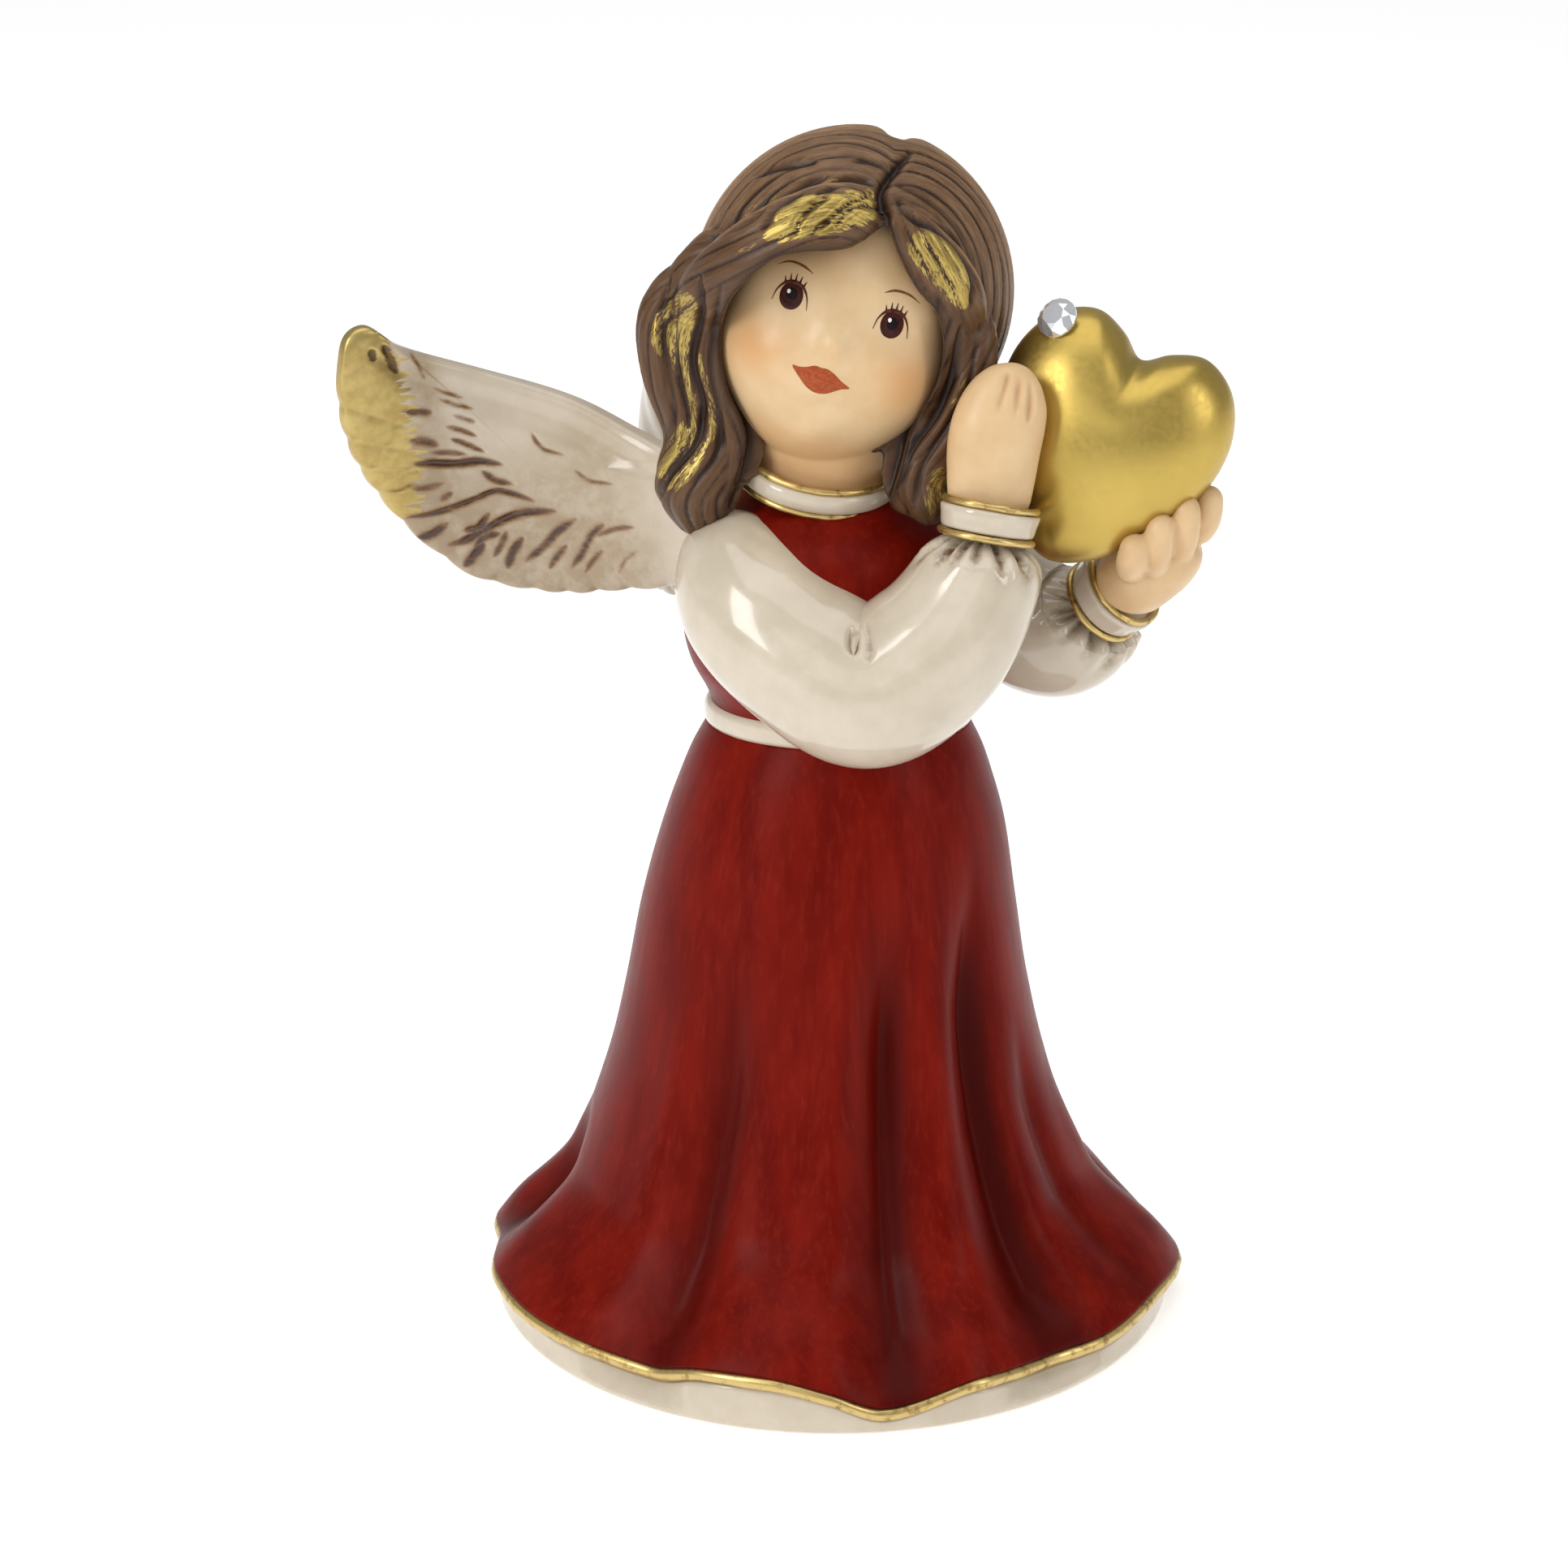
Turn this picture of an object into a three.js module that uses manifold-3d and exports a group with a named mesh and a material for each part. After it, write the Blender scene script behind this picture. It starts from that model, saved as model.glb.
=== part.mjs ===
// Standing angel figurine that holds up a heart: painted, moulded castings bonded together, on a white foot.
// Millimetres, +Z up. The origin is the centre of the foot's underside, and -Y is the side that is shown.
import * as THREE from "three";
import { mergeVertices } from "three/addons/utils/BufferGeometryUtils.js";
import Module from "manifold-3d";

// ---- Driving dimensions ----
const GAP = 0.3; // glue line between neighbouring castings
const FOOT_RADIUS = 39.6;
const WAIST_Z = 72.6;
const WAIST_RADIUS = 14;
const WAIST_X = 0.5;
const WAIST_RISE = 0.12; // how much higher the waistline is at the front, per mm of depth
const BODY_TURN = THREE.MathUtils.degToRad(45); // the chest faces right of the shown side
const HEAD_CENTRE = new THREE.Vector3(-0.2, -1, 117.2);
const HEAD_ROLL = THREE.MathUtils.degToRad(16);
const HEAD_PITCH = THREE.MathUtils.degToRad(-14);
const NECK_RADIUS = 7.6;
const COLLAR_CENTRE = new THREE.Vector3(-1.9, -1.2, 101.8);
const COLLAR_RADIUS = 8.5;
const COLLAR_TILT = new THREE.Euler(0.17, 0.15, 0);
const HEART_CENTRE = new THREE.Vector3(30.3, -5.5, 107.8);
const HEART_TILT = new THREE.Euler(-0.2, 0.43, -0.12);
const HEART_HALF_DEPTH = 8;
const WING_HALF_THICKNESS = 2.3;

// ---- Finishes ----
const finish = (color, roughness, metalness = 0) =>
  new THREE.MeshStandardMaterial({ color, roughness, metalness });
const FINISH = {
  red_gown: finish(0x8e1f16, 0.4),
  ivory_glaze: finish(0xe6dccb, 0.18),
  gilding: finish(0xb3923f, 0.35, 0.9),
  satin_gold: finish(0xb09448, 0.42, 0.85),
  skin: finish(0xe8c49a, 0.35),
  brown_hair: finish(0x6b4632, 0.4),
  crystal: finish(0xf2f4f8, 0.03),
};

const wasm = await Module();
wasm.setup();

const vec = (x, y, z) => new THREE.Vector3(x, y, z);
const smooth = (low, high, x) => THREE.MathUtils.smoothstep(x, low, high);
const degrees = THREE.MathUtils.degToRad;

// ---- Geometry tools ----

// The geometry with its shared vertices merged and only its positions left.
function bare(geometry) {
  const copy = geometry.clone();
  for (const name of Object.keys(copy.attributes)) {
    if (name !== "position") copy.deleteAttribute(name);
  }
  return mergeVertices(copy, 1e-4);
}

// Each vertex of the geometry is carried to where place(vertex) puts it.
function reshaped(geometry, place) {
  const shape = bare(geometry);
  const position = shape.attributes.position;
  for (let i = 0; i < position.count; i++) {
    const p = place(vec().fromBufferAttribute(position, i));
    position.setXYZ(i, p.x, p.y, p.z);
  }
  return shape;
}

// The geometry swollen by a distance along its vertex normals.
function swollen(geometry, distance) {
  const shape = bare(geometry);
  shape.computeVertexNormals();
  const { position, normal } = shape.attributes;
  for (let i = 0; i < position.count; i++) {
    const p = vec().fromBufferAttribute(position, i);
    p.addScaledVector(vec().fromBufferAttribute(normal, i), distance);
    position.setXYZ(i, p.x, p.y, p.z);
  }
  return shape;
}

function solid(geometry) {
  const shape = bare(geometry);
  const made = new wasm.Manifold(
    new wasm.Mesh({
      numProp: 3,
      vertProperties: shape.attributes.position.array,
      triVerts: new Uint32Array(shape.index.array),
    }),
  );
  if (made.volume() < 0) throw new Error("a shape is inside out");
  return made;
}

const joined = (solids) => solids.reduce((sum, next) => sum.add(next));

// A smooth periodic curve through [angle in degrees, value, value ...] rows, read at an angle in radians.
function roundCurve(rows, column) {
  const sorted = [...rows].sort((a, b) => a[0] - b[0]);
  const last = sorted[sorted.length - 1];
  const first = sorted[0];
  const wrapped = [
    [last[0] - 360, last[column]],
    ...sorted.map((row) => [row[0], row[column]]),
    [first[0] + 360, first[column]],
  ];
  return (angle) => {
    let a = THREE.MathUtils.radToDeg(angle);
    if (a < wrapped[0][0]) a += 360;
    let i = 0;
    while (i < wrapped.length - 2 && wrapped[i + 1][0] <= a) i++;
    const share = (a - wrapped[i][0]) / (wrapped[i + 1][0] - wrapped[i][0]);
    return THREE.MathUtils.lerp(wrapped[i][1], wrapped[i + 1][1], smooth(0, 1, share));
  };
}

// A limb with round ends along a path. Its radius goes through radii at the path's points,
// and flat is its width towards the hint direction as a share of its width across it.
function limb(path, radii, { flat = 1, hint = vec(0, 0, 1), around = 14, along = 12, round = 0.16 } = {}) {
  const centre = new THREE.CatmullRomCurve3(path);
  const width = new THREE.SplineCurve(radii.map((r, i) => new THREE.Vector2(i, r)));
  return reshaped(new THREE.SphereGeometry(1, around, along), (p) => {
    const t = Math.acos(THREE.MathUtils.clamp(p.y, -1, 1)) / Math.PI;
    const fromEnd = Math.min(t, 1 - t);
    const cap = fromEnd < round ? Math.sqrt(1 - (1 - fromEnd / round) ** 2) : 1;
    const tangent = centre.getTangent(t);
    const across = vec().crossVectors(tangent, hint).normalize();
    const towards = vec().crossVectors(across, tangent);
    const ring = new THREE.Vector2(p.x, p.z);
    if (ring.length() > 1e-6) ring.setLength(width.getPoint(t).y * cap);
    else ring.set(0, 0);
    return centre
      .getPoint(t)
      .addScaledVector(across, ring.x)
      .addScaledVector(towards, -ring.y * flat);
  });
}

// An ellipsoid with its half sizes, turned and placed.
function ellipsoid(centre, half, turn = new THREE.Euler(), around = 24, along = 16) {
  const shape = new THREE.SphereGeometry(1, around, along);
  return shape.applyMatrix4(
    new THREE.Matrix4().compose(centre, new THREE.Quaternion().setFromEuler(turn), half),
  );
}

// A ring of oval section that lies round an axis.
function ring(centre, turn, radius, halfAcross, halfAlong, { around = 24, section = 6 } = {}) {
  const shape = new THREE.TorusGeometry(radius, 1, section, around);
  return reshaped(shape, (p) => {
    const out = Math.hypot(p.x, p.y);
    const to = radius + (out - radius) * halfAcross;
    return vec((p.x * to) / out, (p.y * to) / out, p.z * halfAlong).applyEuler(turn).add(centre);
  });
}

// ---- Foot, hem and skirt ----

// The hem as [angle, radius, height of its lower edge]: broad lobes between narrow folds.
const HEM = [
  [-165, 40.6, 3.9],
  [-147, 40.3, 3.9],
  [-123, 38.2, 3.2],
  [-113, 39.6, 5.2],
  [-101, 40.5, 5.7],
  [-91, 40.8, 4.3],
  [-82, 40.4, 2],
  [-66, 40.3, 4.2],
  [-50, 38, 3],
  [-38, 39.6, 3.3],
  [-22, 40.2, 4],
  [-5, 41, 3],
  [12, 38.9, 2.4],
  [32, 38.8, 2],
  [52, 37.8, 1.9],
  [74, 39.2, 2.2],
  [95, 37.8, 1.9],
  [115, 39.2, 2.2],
  [136, 37.4, 1.9],
  [152, 38.2, 2],
  [166, 41.2, 2],
  [178, 39.4, 3],
];
const hemRadius = roundCurve(HEM, 1);
const hemHeight = roundCurve(HEM, 2);
const HEM_BEAD = 0.75;
const REBATE = 2 * HEM_BEAD + GAP; // the bead lies in this step between the foot and the skirt

// The folds that run up the skirt:
// [angle at the hem, angle at the top, depth, half width in degrees, top height].
const FOLDS = [
  [-123, -119, 1.7, 9, 50],
  [-81, -72, 2.2, 8, 54],
  [-49, -41, 3, 9, 56],
  [-25, -26, 0.9, 8, 36],
  [12, 10, 2.2, 9, 30],
  [52, 50, 2.6, 10, 52],
  [95, 95, 2.2, 10, 50],
  [136, 136, 2.4, 10, 50],
  [178, 178, 2.4, 7, 24],
];

const SKIRT_TOP_Z = WAIST_Z - 1.2;

// The skirt above its hem as [height, radius, how far its middle leans to +X].
const SKIRT_OUTLINE = [
  [0, 41, 0],
  [7.7, 35.7, 0],
  [14, 31.4, -0.3],
  [18.3, 29.4, -0.5],
  [29, 25.6, -0.7],
  [39, 23.3, -0.7],
  [49.5, 21.5, -0.5],
  [59.5, 19.4, 0.1],
  [65, 17.7, 0.3],
  [68, 16.6, 0.4],
  [SKIRT_TOP_Z, 14.9, WAIST_X],
];
const HEM_FLARE_HEIGHT = 12; // how far above the hem its lobes reach

function skirtOutline(height, column) {
  let i = 0;
  while (i < SKIRT_OUTLINE.length - 2 && SKIRT_OUTLINE[i + 1][0] <= height) i++;
  const [low, high] = [SKIRT_OUTLINE[i], SKIRT_OUTLINE[i + 1]];
  return THREE.MathUtils.mapLinear(height, low[0], high[0], low[column], high[column]);
}

function foldDepth(angle, height) {
  let depth = 0;
  for (const [atHem, atTop, deep, wide, top] of FOLDS) {
    const rise = THREE.MathUtils.clamp(height / top, 0, 1);
    const fade = smooth(0, 0.4, 1 - rise);
    const middle = degrees(THREE.MathUtils.lerp(atHem, atTop, rise));
    const off = Math.atan2(Math.sin(angle - middle), Math.cos(angle - middle)) / degrees(wide);
    depth += deep * fade * Math.exp(-off * off);
  }
  return depth;
}

// A point of the skirt: share runs from the hem, at 0, to the waist, at 1.
function skirtPoint(angle, share) {
  const bottom = hemHeight(angle) + REBATE;
  const level = THREE.MathUtils.lerp(bottom, SKIRT_TOP_Z, share);
  const plain = (height) => skirtOutline(height, 1) - foldDepth(angle, height);
  const flare = (hemRadius(angle) - plain(bottom)) * (1 - smooth(0, HEM_FLARE_HEIGHT, level - bottom));
  const radius = plain(level) + flare;
  const lean = smooth(0.7, 1, share);
  const y = radius * Math.sin(angle);
  return vec(radius * Math.cos(angle) + skirtOutline(level, 2), y, level - y * WAIST_RISE * lean);
}

const SKIRT_AROUND = 60;
const SKIRT_RINGS = [0, 0.04, 0.1, 0.18, 0.3, 0.46, 0.62, 0.76, 0.88, 1];

// A turned body whose profile points are [share of the way out, ring number],
// carried to place(angle, out, ring).
function turned(profile, around, place) {
  const points = profile.map(([out, row]) => new THREE.Vector2(out, row));
  const lathe = new THREE.LatheGeometry(points, around).rotateX(Math.PI / 2);
  return reshaped(lathe, (p) => place(Math.atan2(p.y, p.x), Math.hypot(p.x, p.y), p.z));
}

function gownSkirt() {
  const last = SKIRT_RINGS.length - 1;
  const profile = [[0, 0], ...SKIRT_RINGS.map((_, row) => [1, row]), [0, last]];
  return turned(profile, SKIRT_AROUND, (angle, out, row) => {
    const rim = skirtPoint(angle, SKIRT_RINGS[Math.round(row)]);
    const middle = row < 0.5 ? vec(0, 0, 5.8) : vec(WAIST_X, 0, SKIRT_TOP_Z);
    return middle.lerp(rim, out);
  });
}

function foot() {
  const floor = 0;
  const plateau = 5.5;
  const edge = (angle) => Math.min(FOOT_RADIUS, hemRadius(angle) - 0.5);
  const rows = [
    () => [FOOT_RADIUS - 0.7, floor],
    () => [FOOT_RADIUS, 0.6],
    (angle) => [edge(angle), hemHeight(angle) - GAP],
    (angle) => [hemRadius(angle) - 2.6, hemHeight(angle) - GAP],
    (angle) => [hemRadius(angle) - 2.9, hemHeight(angle) + REBATE - 2 * GAP],
  ];
  const profile = [[0, 0], ...rows.map((_, row) => [1, row]), [0, rows.length - 1]];
  return turned(profile, SKIRT_AROUND, (angle, out, row) => {
    const [radius, height] = rows[Math.round(row)](angle);
    const middle = row < 0.5 ? floor : plateau;
    const level = THREE.MathUtils.lerp(middle, height, out);
    return vec(radius * out * Math.cos(angle), radius * out * Math.sin(angle), level);
  });
}

function hemBead() {
  return reshaped(new THREE.TorusGeometry(40, 1, 5, SKIRT_AROUND), (p) => {
    const angle = Math.atan2(p.y, p.x);
    const out = Math.hypot(p.x, p.y) - 40;
    const radius = hemRadius(angle) - 0.8 + out * HEM_BEAD;
    const height = hemHeight(angle) + HEM_BEAD * (1 + p.z);
    return vec(radius * Math.cos(angle), radius * Math.sin(angle), height);
  });
}

// ---- Bodice, sash and collar ----

const WAIST_TILT = new THREE.Euler(-Math.atan(WAIST_RISE), 0, 0);

// The bodice as [height, half width across the shoulders, half depth of the chest].
const BODICE_ROWS = [
  [WAIST_Z + GAP, 14.6, 14],
  [75, 15.2, 14.1],
  [80, 17.6, 15.2],
  [86, 18.6, 15.6],
  [91, 18.4, 15],
  [95, 16.6, 13.4],
  [98.6, 12.6, 11],
  [100.6, 8.4, 8],
];

function bodice() {
  const last = BODICE_ROWS.length - 1;
  const profile = [[0, 0], ...BODICE_ROWS.map((_, row) => [1, row]), [0, last]];
  return turned(profile, 24, (angle, out, row) => {
    const [height, wide, deep] = BODICE_ROWS[Math.round(row)];
    const p = vec(wide * out * Math.cos(angle), deep * out * Math.sin(angle), 0);
    p.applyAxisAngle(vec(0, 0, 1), BODY_TURN);
    const lean = 1 - smooth(WAIST_Z, 84, height);
    return vec(p.x + WAIST_X * lean, p.y, height - p.y * WAIST_RISE * lean);
  });
}

const sash = () => ring(vec(WAIST_X, 0, WAIST_Z), WAIST_TILT, WAIST_RADIUS, 1.35, 1.6, { around: 30 });

const COLLAR_AXIS = vec(0, 0, 1).applyEuler(COLLAR_TILT);
const COLLAR_HALF_HEIGHT = 1.15;
const COLLAR_BEAD = 0.36;
const collarAt = (along) => COLLAR_CENTRE.clone().addScaledVector(COLLAR_AXIS, along);
const collarBand = () => ring(COLLAR_CENTRE, COLLAR_TILT, COLLAR_RADIUS, 0.9, COLLAR_HALF_HEIGHT);
const collarBead = (side) =>
  ring(
    collarAt(side * (COLLAR_HALF_HEIGHT + GAP + COLLAR_BEAD)),
    COLLAR_TILT,
    COLLAR_RADIUS,
    COLLAR_BEAD,
    COLLAR_BEAD,
    { section: 4 },
  );

// ---- Head and hair ----

const HEAD_TURN = new THREE.Euler(HEAD_PITCH, HEAD_ROLL, 0);
const onHead = (x, y, z) => vec(x, y, z).applyEuler(HEAD_TURN).add(HEAD_CENTRE);

// The head in its own frame, with the face towards -Y: an egg with full cheeks and a small round chin.
function face() {
  return reshaped(new THREE.SphereGeometry(1, 22, 16).rotateX(Math.PI / 2), (p) => {
    const low = smooth(0.1, 1, -p.z);
    const cheek = 1 + 0.05 * Math.exp(-(((p.z + 0.35) / 0.35) ** 2));
    const x = 13.2 * p.x * cheek * (1 - 0.1 * low);
    const y = 12.8 * p.y * (1 - 0.06 * low);
    return onHead(x, y, 14.6 * p.z);
  });
}
const neck = () => limb([onHead(0, 2, -4), vec(-1.4, 0.2, 104), vec(-1.8, -0.6, 99)], [9.5, 8.3, NECK_RADIUS], {
    hint: vec(0, 1, 0),
    round: 0.1,
  });
const nose = () => ellipsoid(onHead(0, -12.6, -0.8), vec(1.5, 1.5, 1.4), HEAD_TURN, 8, 6);

const HAIR_CENTRE = vec(1.9, 2.6, 121);
const hairCap = () => ellipsoid(HAIR_CENTRE, vec(18, 17.2, 18.6), HEAD_TURN, 22, 15);
const hairFall = () =>
  limb([vec(-1, 8, 122), vec(-1, 10.5, 111), vec(-2, 11.5, 101), vec(-2.4, 11.5, 90.5)], [15, 16, 15.2, 11], {
    flat: 0.62,
    hint: vec(-0.2, 1, 0),
    around: 16,
    along: 11,
    round: 0.22,
  });
const faceWindow = () =>
  limb([onHead(-0.5, -4, -3), onHead(-0.8, -30, -3)], [12.9, 14.5], {
    flat: 1.14,
    around: 20,
    along: 6,
    round: 0.05,
  });

// Locks and fringes as paths with radii. Right and left are the figure's own.
const LOCKS = {
  hair_fringe_right: {
    path: [
      vec(5.4, -10.5, 134.6),
      vec(-1, -12.6, 134),
      vec(-7.6, -12.2, 130.6),
      vec(-13.2, -8.8, 125),
      vec(-16, -4.4, 119),
    ],
    radii: [1.6, 3, 3.3, 3.4, 2.6],
    flat: 0.7,
    hint: vec(0, -1, 0.4),
  },
  hair_fringe_left: {
    path: [vec(5.6, -10.6, 134.8), vec(9.6, -11.4, 131), vec(12.8, -9.6, 125.4), vec(14.8, -7.4, 119.6)],
    radii: [1.5, 2.6, 2.9, 2.2],
    flat: 0.7,
    hint: vec(0.3, -1, 0.3),
  },
  hair_lock_right: {
    path: [
      vec(-15.5, -1.5, 128),
      vec(-18.2, -2.6, 121),
      vec(-17.6, -4, 114),
      vec(-14.8, -5.6, 107.5),
      vec(-15.2, -6.6, 101.5),
      vec(-16, -7, 95.4),
    ],
    radii: [2.6, 3.7, 3.9, 4.3, 4.9, 1.7],
    flat: 0.85,
    hint: vec(0, -1, 0),
  },
  hair_lock_left: {
    path: [
      vec(15.4, -6.2, 122),
      vec(14.8, -7.6, 115.6),
      vec(12.6, -7.8, 109),
      vec(10.6, -8.4, 103.4),
      vec(11.6, -10.2, 97.6),
    ],
    radii: [2.2, 3, 3.1, 3.2, 1.5],
    flat: 0.85,
    hint: vec(0, -1, 0),
  },
};
const lock = (name) => limb(LOCKS[name].path, LOCKS[name].radii, { ...LOCKS[name], around: 10, along: 11 });

// ---- Arms: sleeve, cuff with two gilt beads, and hand, on one line ----

const ARMS = {
  right: {
    sleeve: [
      vec(-9.6, -1.5, 95.2),
      vec(-10.6, -6.2, 92.4),
      vec(-9, -10.6, 89.2),
      vec(-3.4, -15, 84.7),
      vec(3.6, -17.6, 81.6),
      vec(11, -17.4, 86.6),
      vec(15.4, -15.8, 93.6),
      vec(16.6, -14.9, 98.7),
    ],
    radii: [4, 7, 8.5, 8.9, 9, 8.4, 7.2, 6.6],
    cuff: [vec(16.5, -14.7, 98.3), vec(17.1, -13.8, 101.7)],
    cuffRadius: 5.4,
    bend: vec(-0.4, -0.8, 0.5),
  },
  left: {
    sleeve: [
      vec(7, 8, 93.5),
      vec(13, 8.6, 88),
      vec(20, 6.6, 82),
      vec(25.2, 4, 80.2),
      vec(28.6, 2, 82.4),
      vec(29.9, 0.8, 84.6),
    ],
    radii: [6.2, 7.4, 7.8, 7.6, 6.9, 6],
    cuff: [vec(30.3, 0.2, 85.2), vec(32.7, -1.5, 87.8)],
    cuffRadius: 5.1,
    bend: vec(-0.4, -0.9, -0.2),
  },
};
const CUFF_BEAD = 0.42;
const CUFF_TAPER = 0.3; // how far a cuff widens and narrows from its middle

const sleeve = (side) =>
  limb(ARMS[side].sleeve, ARMS[side].radii, { hint: ARMS[side].bend, around: 16, along: 15, round: 0.1 });

function cuffTurn(side) {
  const [from, to] = ARMS[side].cuff;
  const axis = vec().subVectors(to, from).normalize();
  return new THREE.Euler().setFromQuaternion(new THREE.Quaternion().setFromUnitVectors(vec(0, 0, 1), axis));
}

function cuff(side) {
  const [from, to] = ARMS[side].cuff;
  const length = from.distanceTo(to) - 2 * (CUFF_BEAD + GAP * 1.3);
  const radius = ARMS[side].cuffRadius;
  const band = new THREE.CylinderGeometry(radius - CUFF_TAPER, radius + CUFF_TAPER, length, 20);
  const middle = vec().lerpVectors(from, to, 0.5);
  return reshaped(band.rotateX(Math.PI / 2), (p) => p.applyEuler(cuffTurn(side)).add(middle));
}

const cuffBead = (side, end) =>
  ring(ARMS[side].cuff[end], cuffTurn(side), ARMS[side].cuffRadius - CUFF_BEAD, CUFF_BEAD, CUFF_BEAD, {
    around: 20,
    section: 4,
  });

// The right hand lies flat on the heart's near edge, fingers up; the left one cups it from below.
const RIGHT_PALM = [
  vec(17.1, -13.7, 101.8),
  vec(17.5, -12.8, 105.5),
  vec(18.2, -12.4, 109.5),
  vec(18.9, -12, 113),
];
const RIGHT_FINGERS = [
  [vec(15.4, -12.4, 109.6), vec(16.8, -11.2, 116.4)],
  [vec(17.3, -12.9, 110), vec(18.8, -11.3, 117.6)],
  [vec(19.1, -13, 109.8), vec(20.8, -11.5, 117.2)],
  [vec(20.8, -12.8, 109), vec(22.4, -11.6, 115)],
];
const LEFT_PALM = [vec(32.4, -1.6, 87.6), vec(34.4, -4, 90.2), vec(37, -5.6, 93.2), vec(38.5, -6.6, 95.8)];
const LEFT_FINGERS = [
  [vec(32.8, -7.4, 91.6), vec(32.8, -11.4, 94.4), vec(33.2, -12.6, 97.6)],
  [vec(35.4, -7, 91.4), vec(35.6, -11.2, 95.6), vec(36, -12, 100)],
  [vec(38, -6, 92.4), vec(38.6, -10, 97), vec(38.9, -10.4, 101.6)],
  [vec(40.2, -4.4, 94.6), vec(41.2, -7.4, 98), vec(41.6, -7.8, 101.8)],
];
function finger(path, radius) {
  return limb(path, path.map((_, i) => radius * (1 - 0.05 * i)), {
    around: 7,
    along: 7,
    hint: vec(1, 0, 0),
    round: 0.3,
  });
}
const rightHand = () => [
  limb(RIGHT_PALM, [4.7, 5, 5, 4.4], { flat: 0.64, hint: vec(0, -1, 0), round: 0.12 }),
  ...RIGHT_FINGERS.map((points) => finger(points, 1.45)),
];
const leftHand = () => [
  limb(LEFT_PALM, [4.3, 4.7, 4.5, 3.2], { flat: 0.8, hint: vec(0.4, -0.6, -0.5), round: 0.2 }),
  ...LEFT_FINGERS.map((points) => finger(points, 1.5)),
];

// ---- Heart and crystal ----

const onHeart = (x, y, z) => vec(x, y, z).applyEuler(HEART_TILT).add(HEART_CENTRE);

// Half of the heart's outline as [across, up], from the cleft to the blunt point:
// a full lobe over a long curve.
const HEART_SIDE = [
  [0, 8.3],
  [2.8, 10.2],
  [6.6, 11.4],
  [10.6, 9.3],
  [12.9, 4.8],
  [13, -0.5],
  [11, -6],
  [7.8, -10.8],
  [4, -14.6],
  [0, -16.2],
];
const HEART_OUTLINE = new THREE.CatmullRomCurve3(
  [...HEART_SIDE, ...HEART_SIDE.slice(1, -1).reverse().map(([x, z]) => [-x, z])].map(([x, z]) => vec(x, 0, z)),
  true,
);

function heart() {
  return reshaped(new THREE.SphereGeometry(1, 28, 12).rotateX(Math.PI / 2), (p) => {
    const share = (Math.atan2(p.x, p.z) / (2 * Math.PI) + 1) % 1;
    const out = HEART_OUTLINE.getPoint(share).multiplyScalar(Math.hypot(p.x, p.z));
    return onHeart(out.x, p.y * HEART_HALF_DEPTH, out.z);
  });
}

const CRYSTAL_RADIUS = 2.35;
const CRYSTAL_SINK = 0.8; // how deep the crystal's back lies in its seat
const CRYSTAL_SITE = onHeart(-10.1, -3.3, 8.7);
const CRYSTAL_FACING = vec(-0.45, -0.62, 0.64).normalize();
function crystal() {
  const profile = [
    [0, -CRYSTAL_SINK],
    [CRYSTAL_RADIUS, -CRYSTAL_SINK],
    [CRYSTAL_RADIUS, 0.45],
    [CRYSTAL_RADIUS * 0.55, 1.45],
    [0, 1.45],
  ].map(([out, up]) => new THREE.Vector2(out, up));
  return new THREE.LatheGeometry(profile, 8)
    .applyQuaternion(new THREE.Quaternion().setFromUnitVectors(vec(0, 1, 0), CRYSTAL_FACING))
    .translate(CRYSTAL_SITE.x, CRYSTAL_SITE.y, CRYSTAL_SITE.z);
}

// ---- Wings ----

// The wing's outline as [distance along the wing, height]:
// out along the leading edge, round the tip and back by the feathers.
const WING_OUTLINE = [
  [3, 97.6],
  [10.5, 98.4],
  [16, 100],
  [23, 102.8],
  [34.4, 106.4],
  [43.6, 110],
  [48, 113],
  [50.4, 112],
  [51.4, 105.4],
  [50, 98.4],
  [46.4, 92],
  [41, 85.6],
  [34.8, 81],
  [25.3, 79.2],
  [18, 80.2],
  [10.5, 82],
  [3, 84.6],
];
// The wing's line seen from above, from its root to its tip.
const WING_LINE = new THREE.QuadraticBezierCurve3(vec(-10.9, 7.1, 0), vec(-30, 30.5, 0), vec(-57, 13.5, 0));
const WING_LENGTH = WING_LINE.getLength();

// The left wing mirrors the right one across the plane that halves the body, and is held lower.
const LEFT_WING_DROP = 3;
const WING_MIDDLE = new THREE.Vector2(27, 93.5); // the middle of its outline
const WING_EDGE = new THREE.CatmullRomCurve3(
  WING_OUTLINE.map(([along, height]) => vec(along - WING_MIDDLE.x, 0, height - WING_MIDDLE.y)),
  true,
);

function wing(side) {
  return reshaped(new THREE.SphereGeometry(1, 36, 12).rotateX(Math.PI / 2), (p) => {
    const share = (Math.atan2(p.x, p.z) / (2 * Math.PI) + 1) % 1;
    const out = WING_EDGE.getPoint(share).multiplyScalar(Math.hypot(p.x, p.z));
    const t = THREE.MathUtils.clamp((WING_MIDDLE.x + out.x) / WING_LENGTH, 0, 1);
    const place = WING_LINE.getPointAt(t);
    const tangent = WING_LINE.getTangentAt(t);
    const face = Math.sign(side === "right" ? p.y : -p.y);
    const off = face * Math.sqrt(Math.abs(p.y)) * WING_HALF_THICKNESS;
    const [x, y] = [place.x - tangent.y * off, place.y + tangent.x * off];
    const z = WING_MIDDLE.y + out.z;
    return side === "right" ? vec(x, y, z) : vec(-y, -x, z - LEFT_WING_DROP);
  });
}

// ---- Assembly ----

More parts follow.
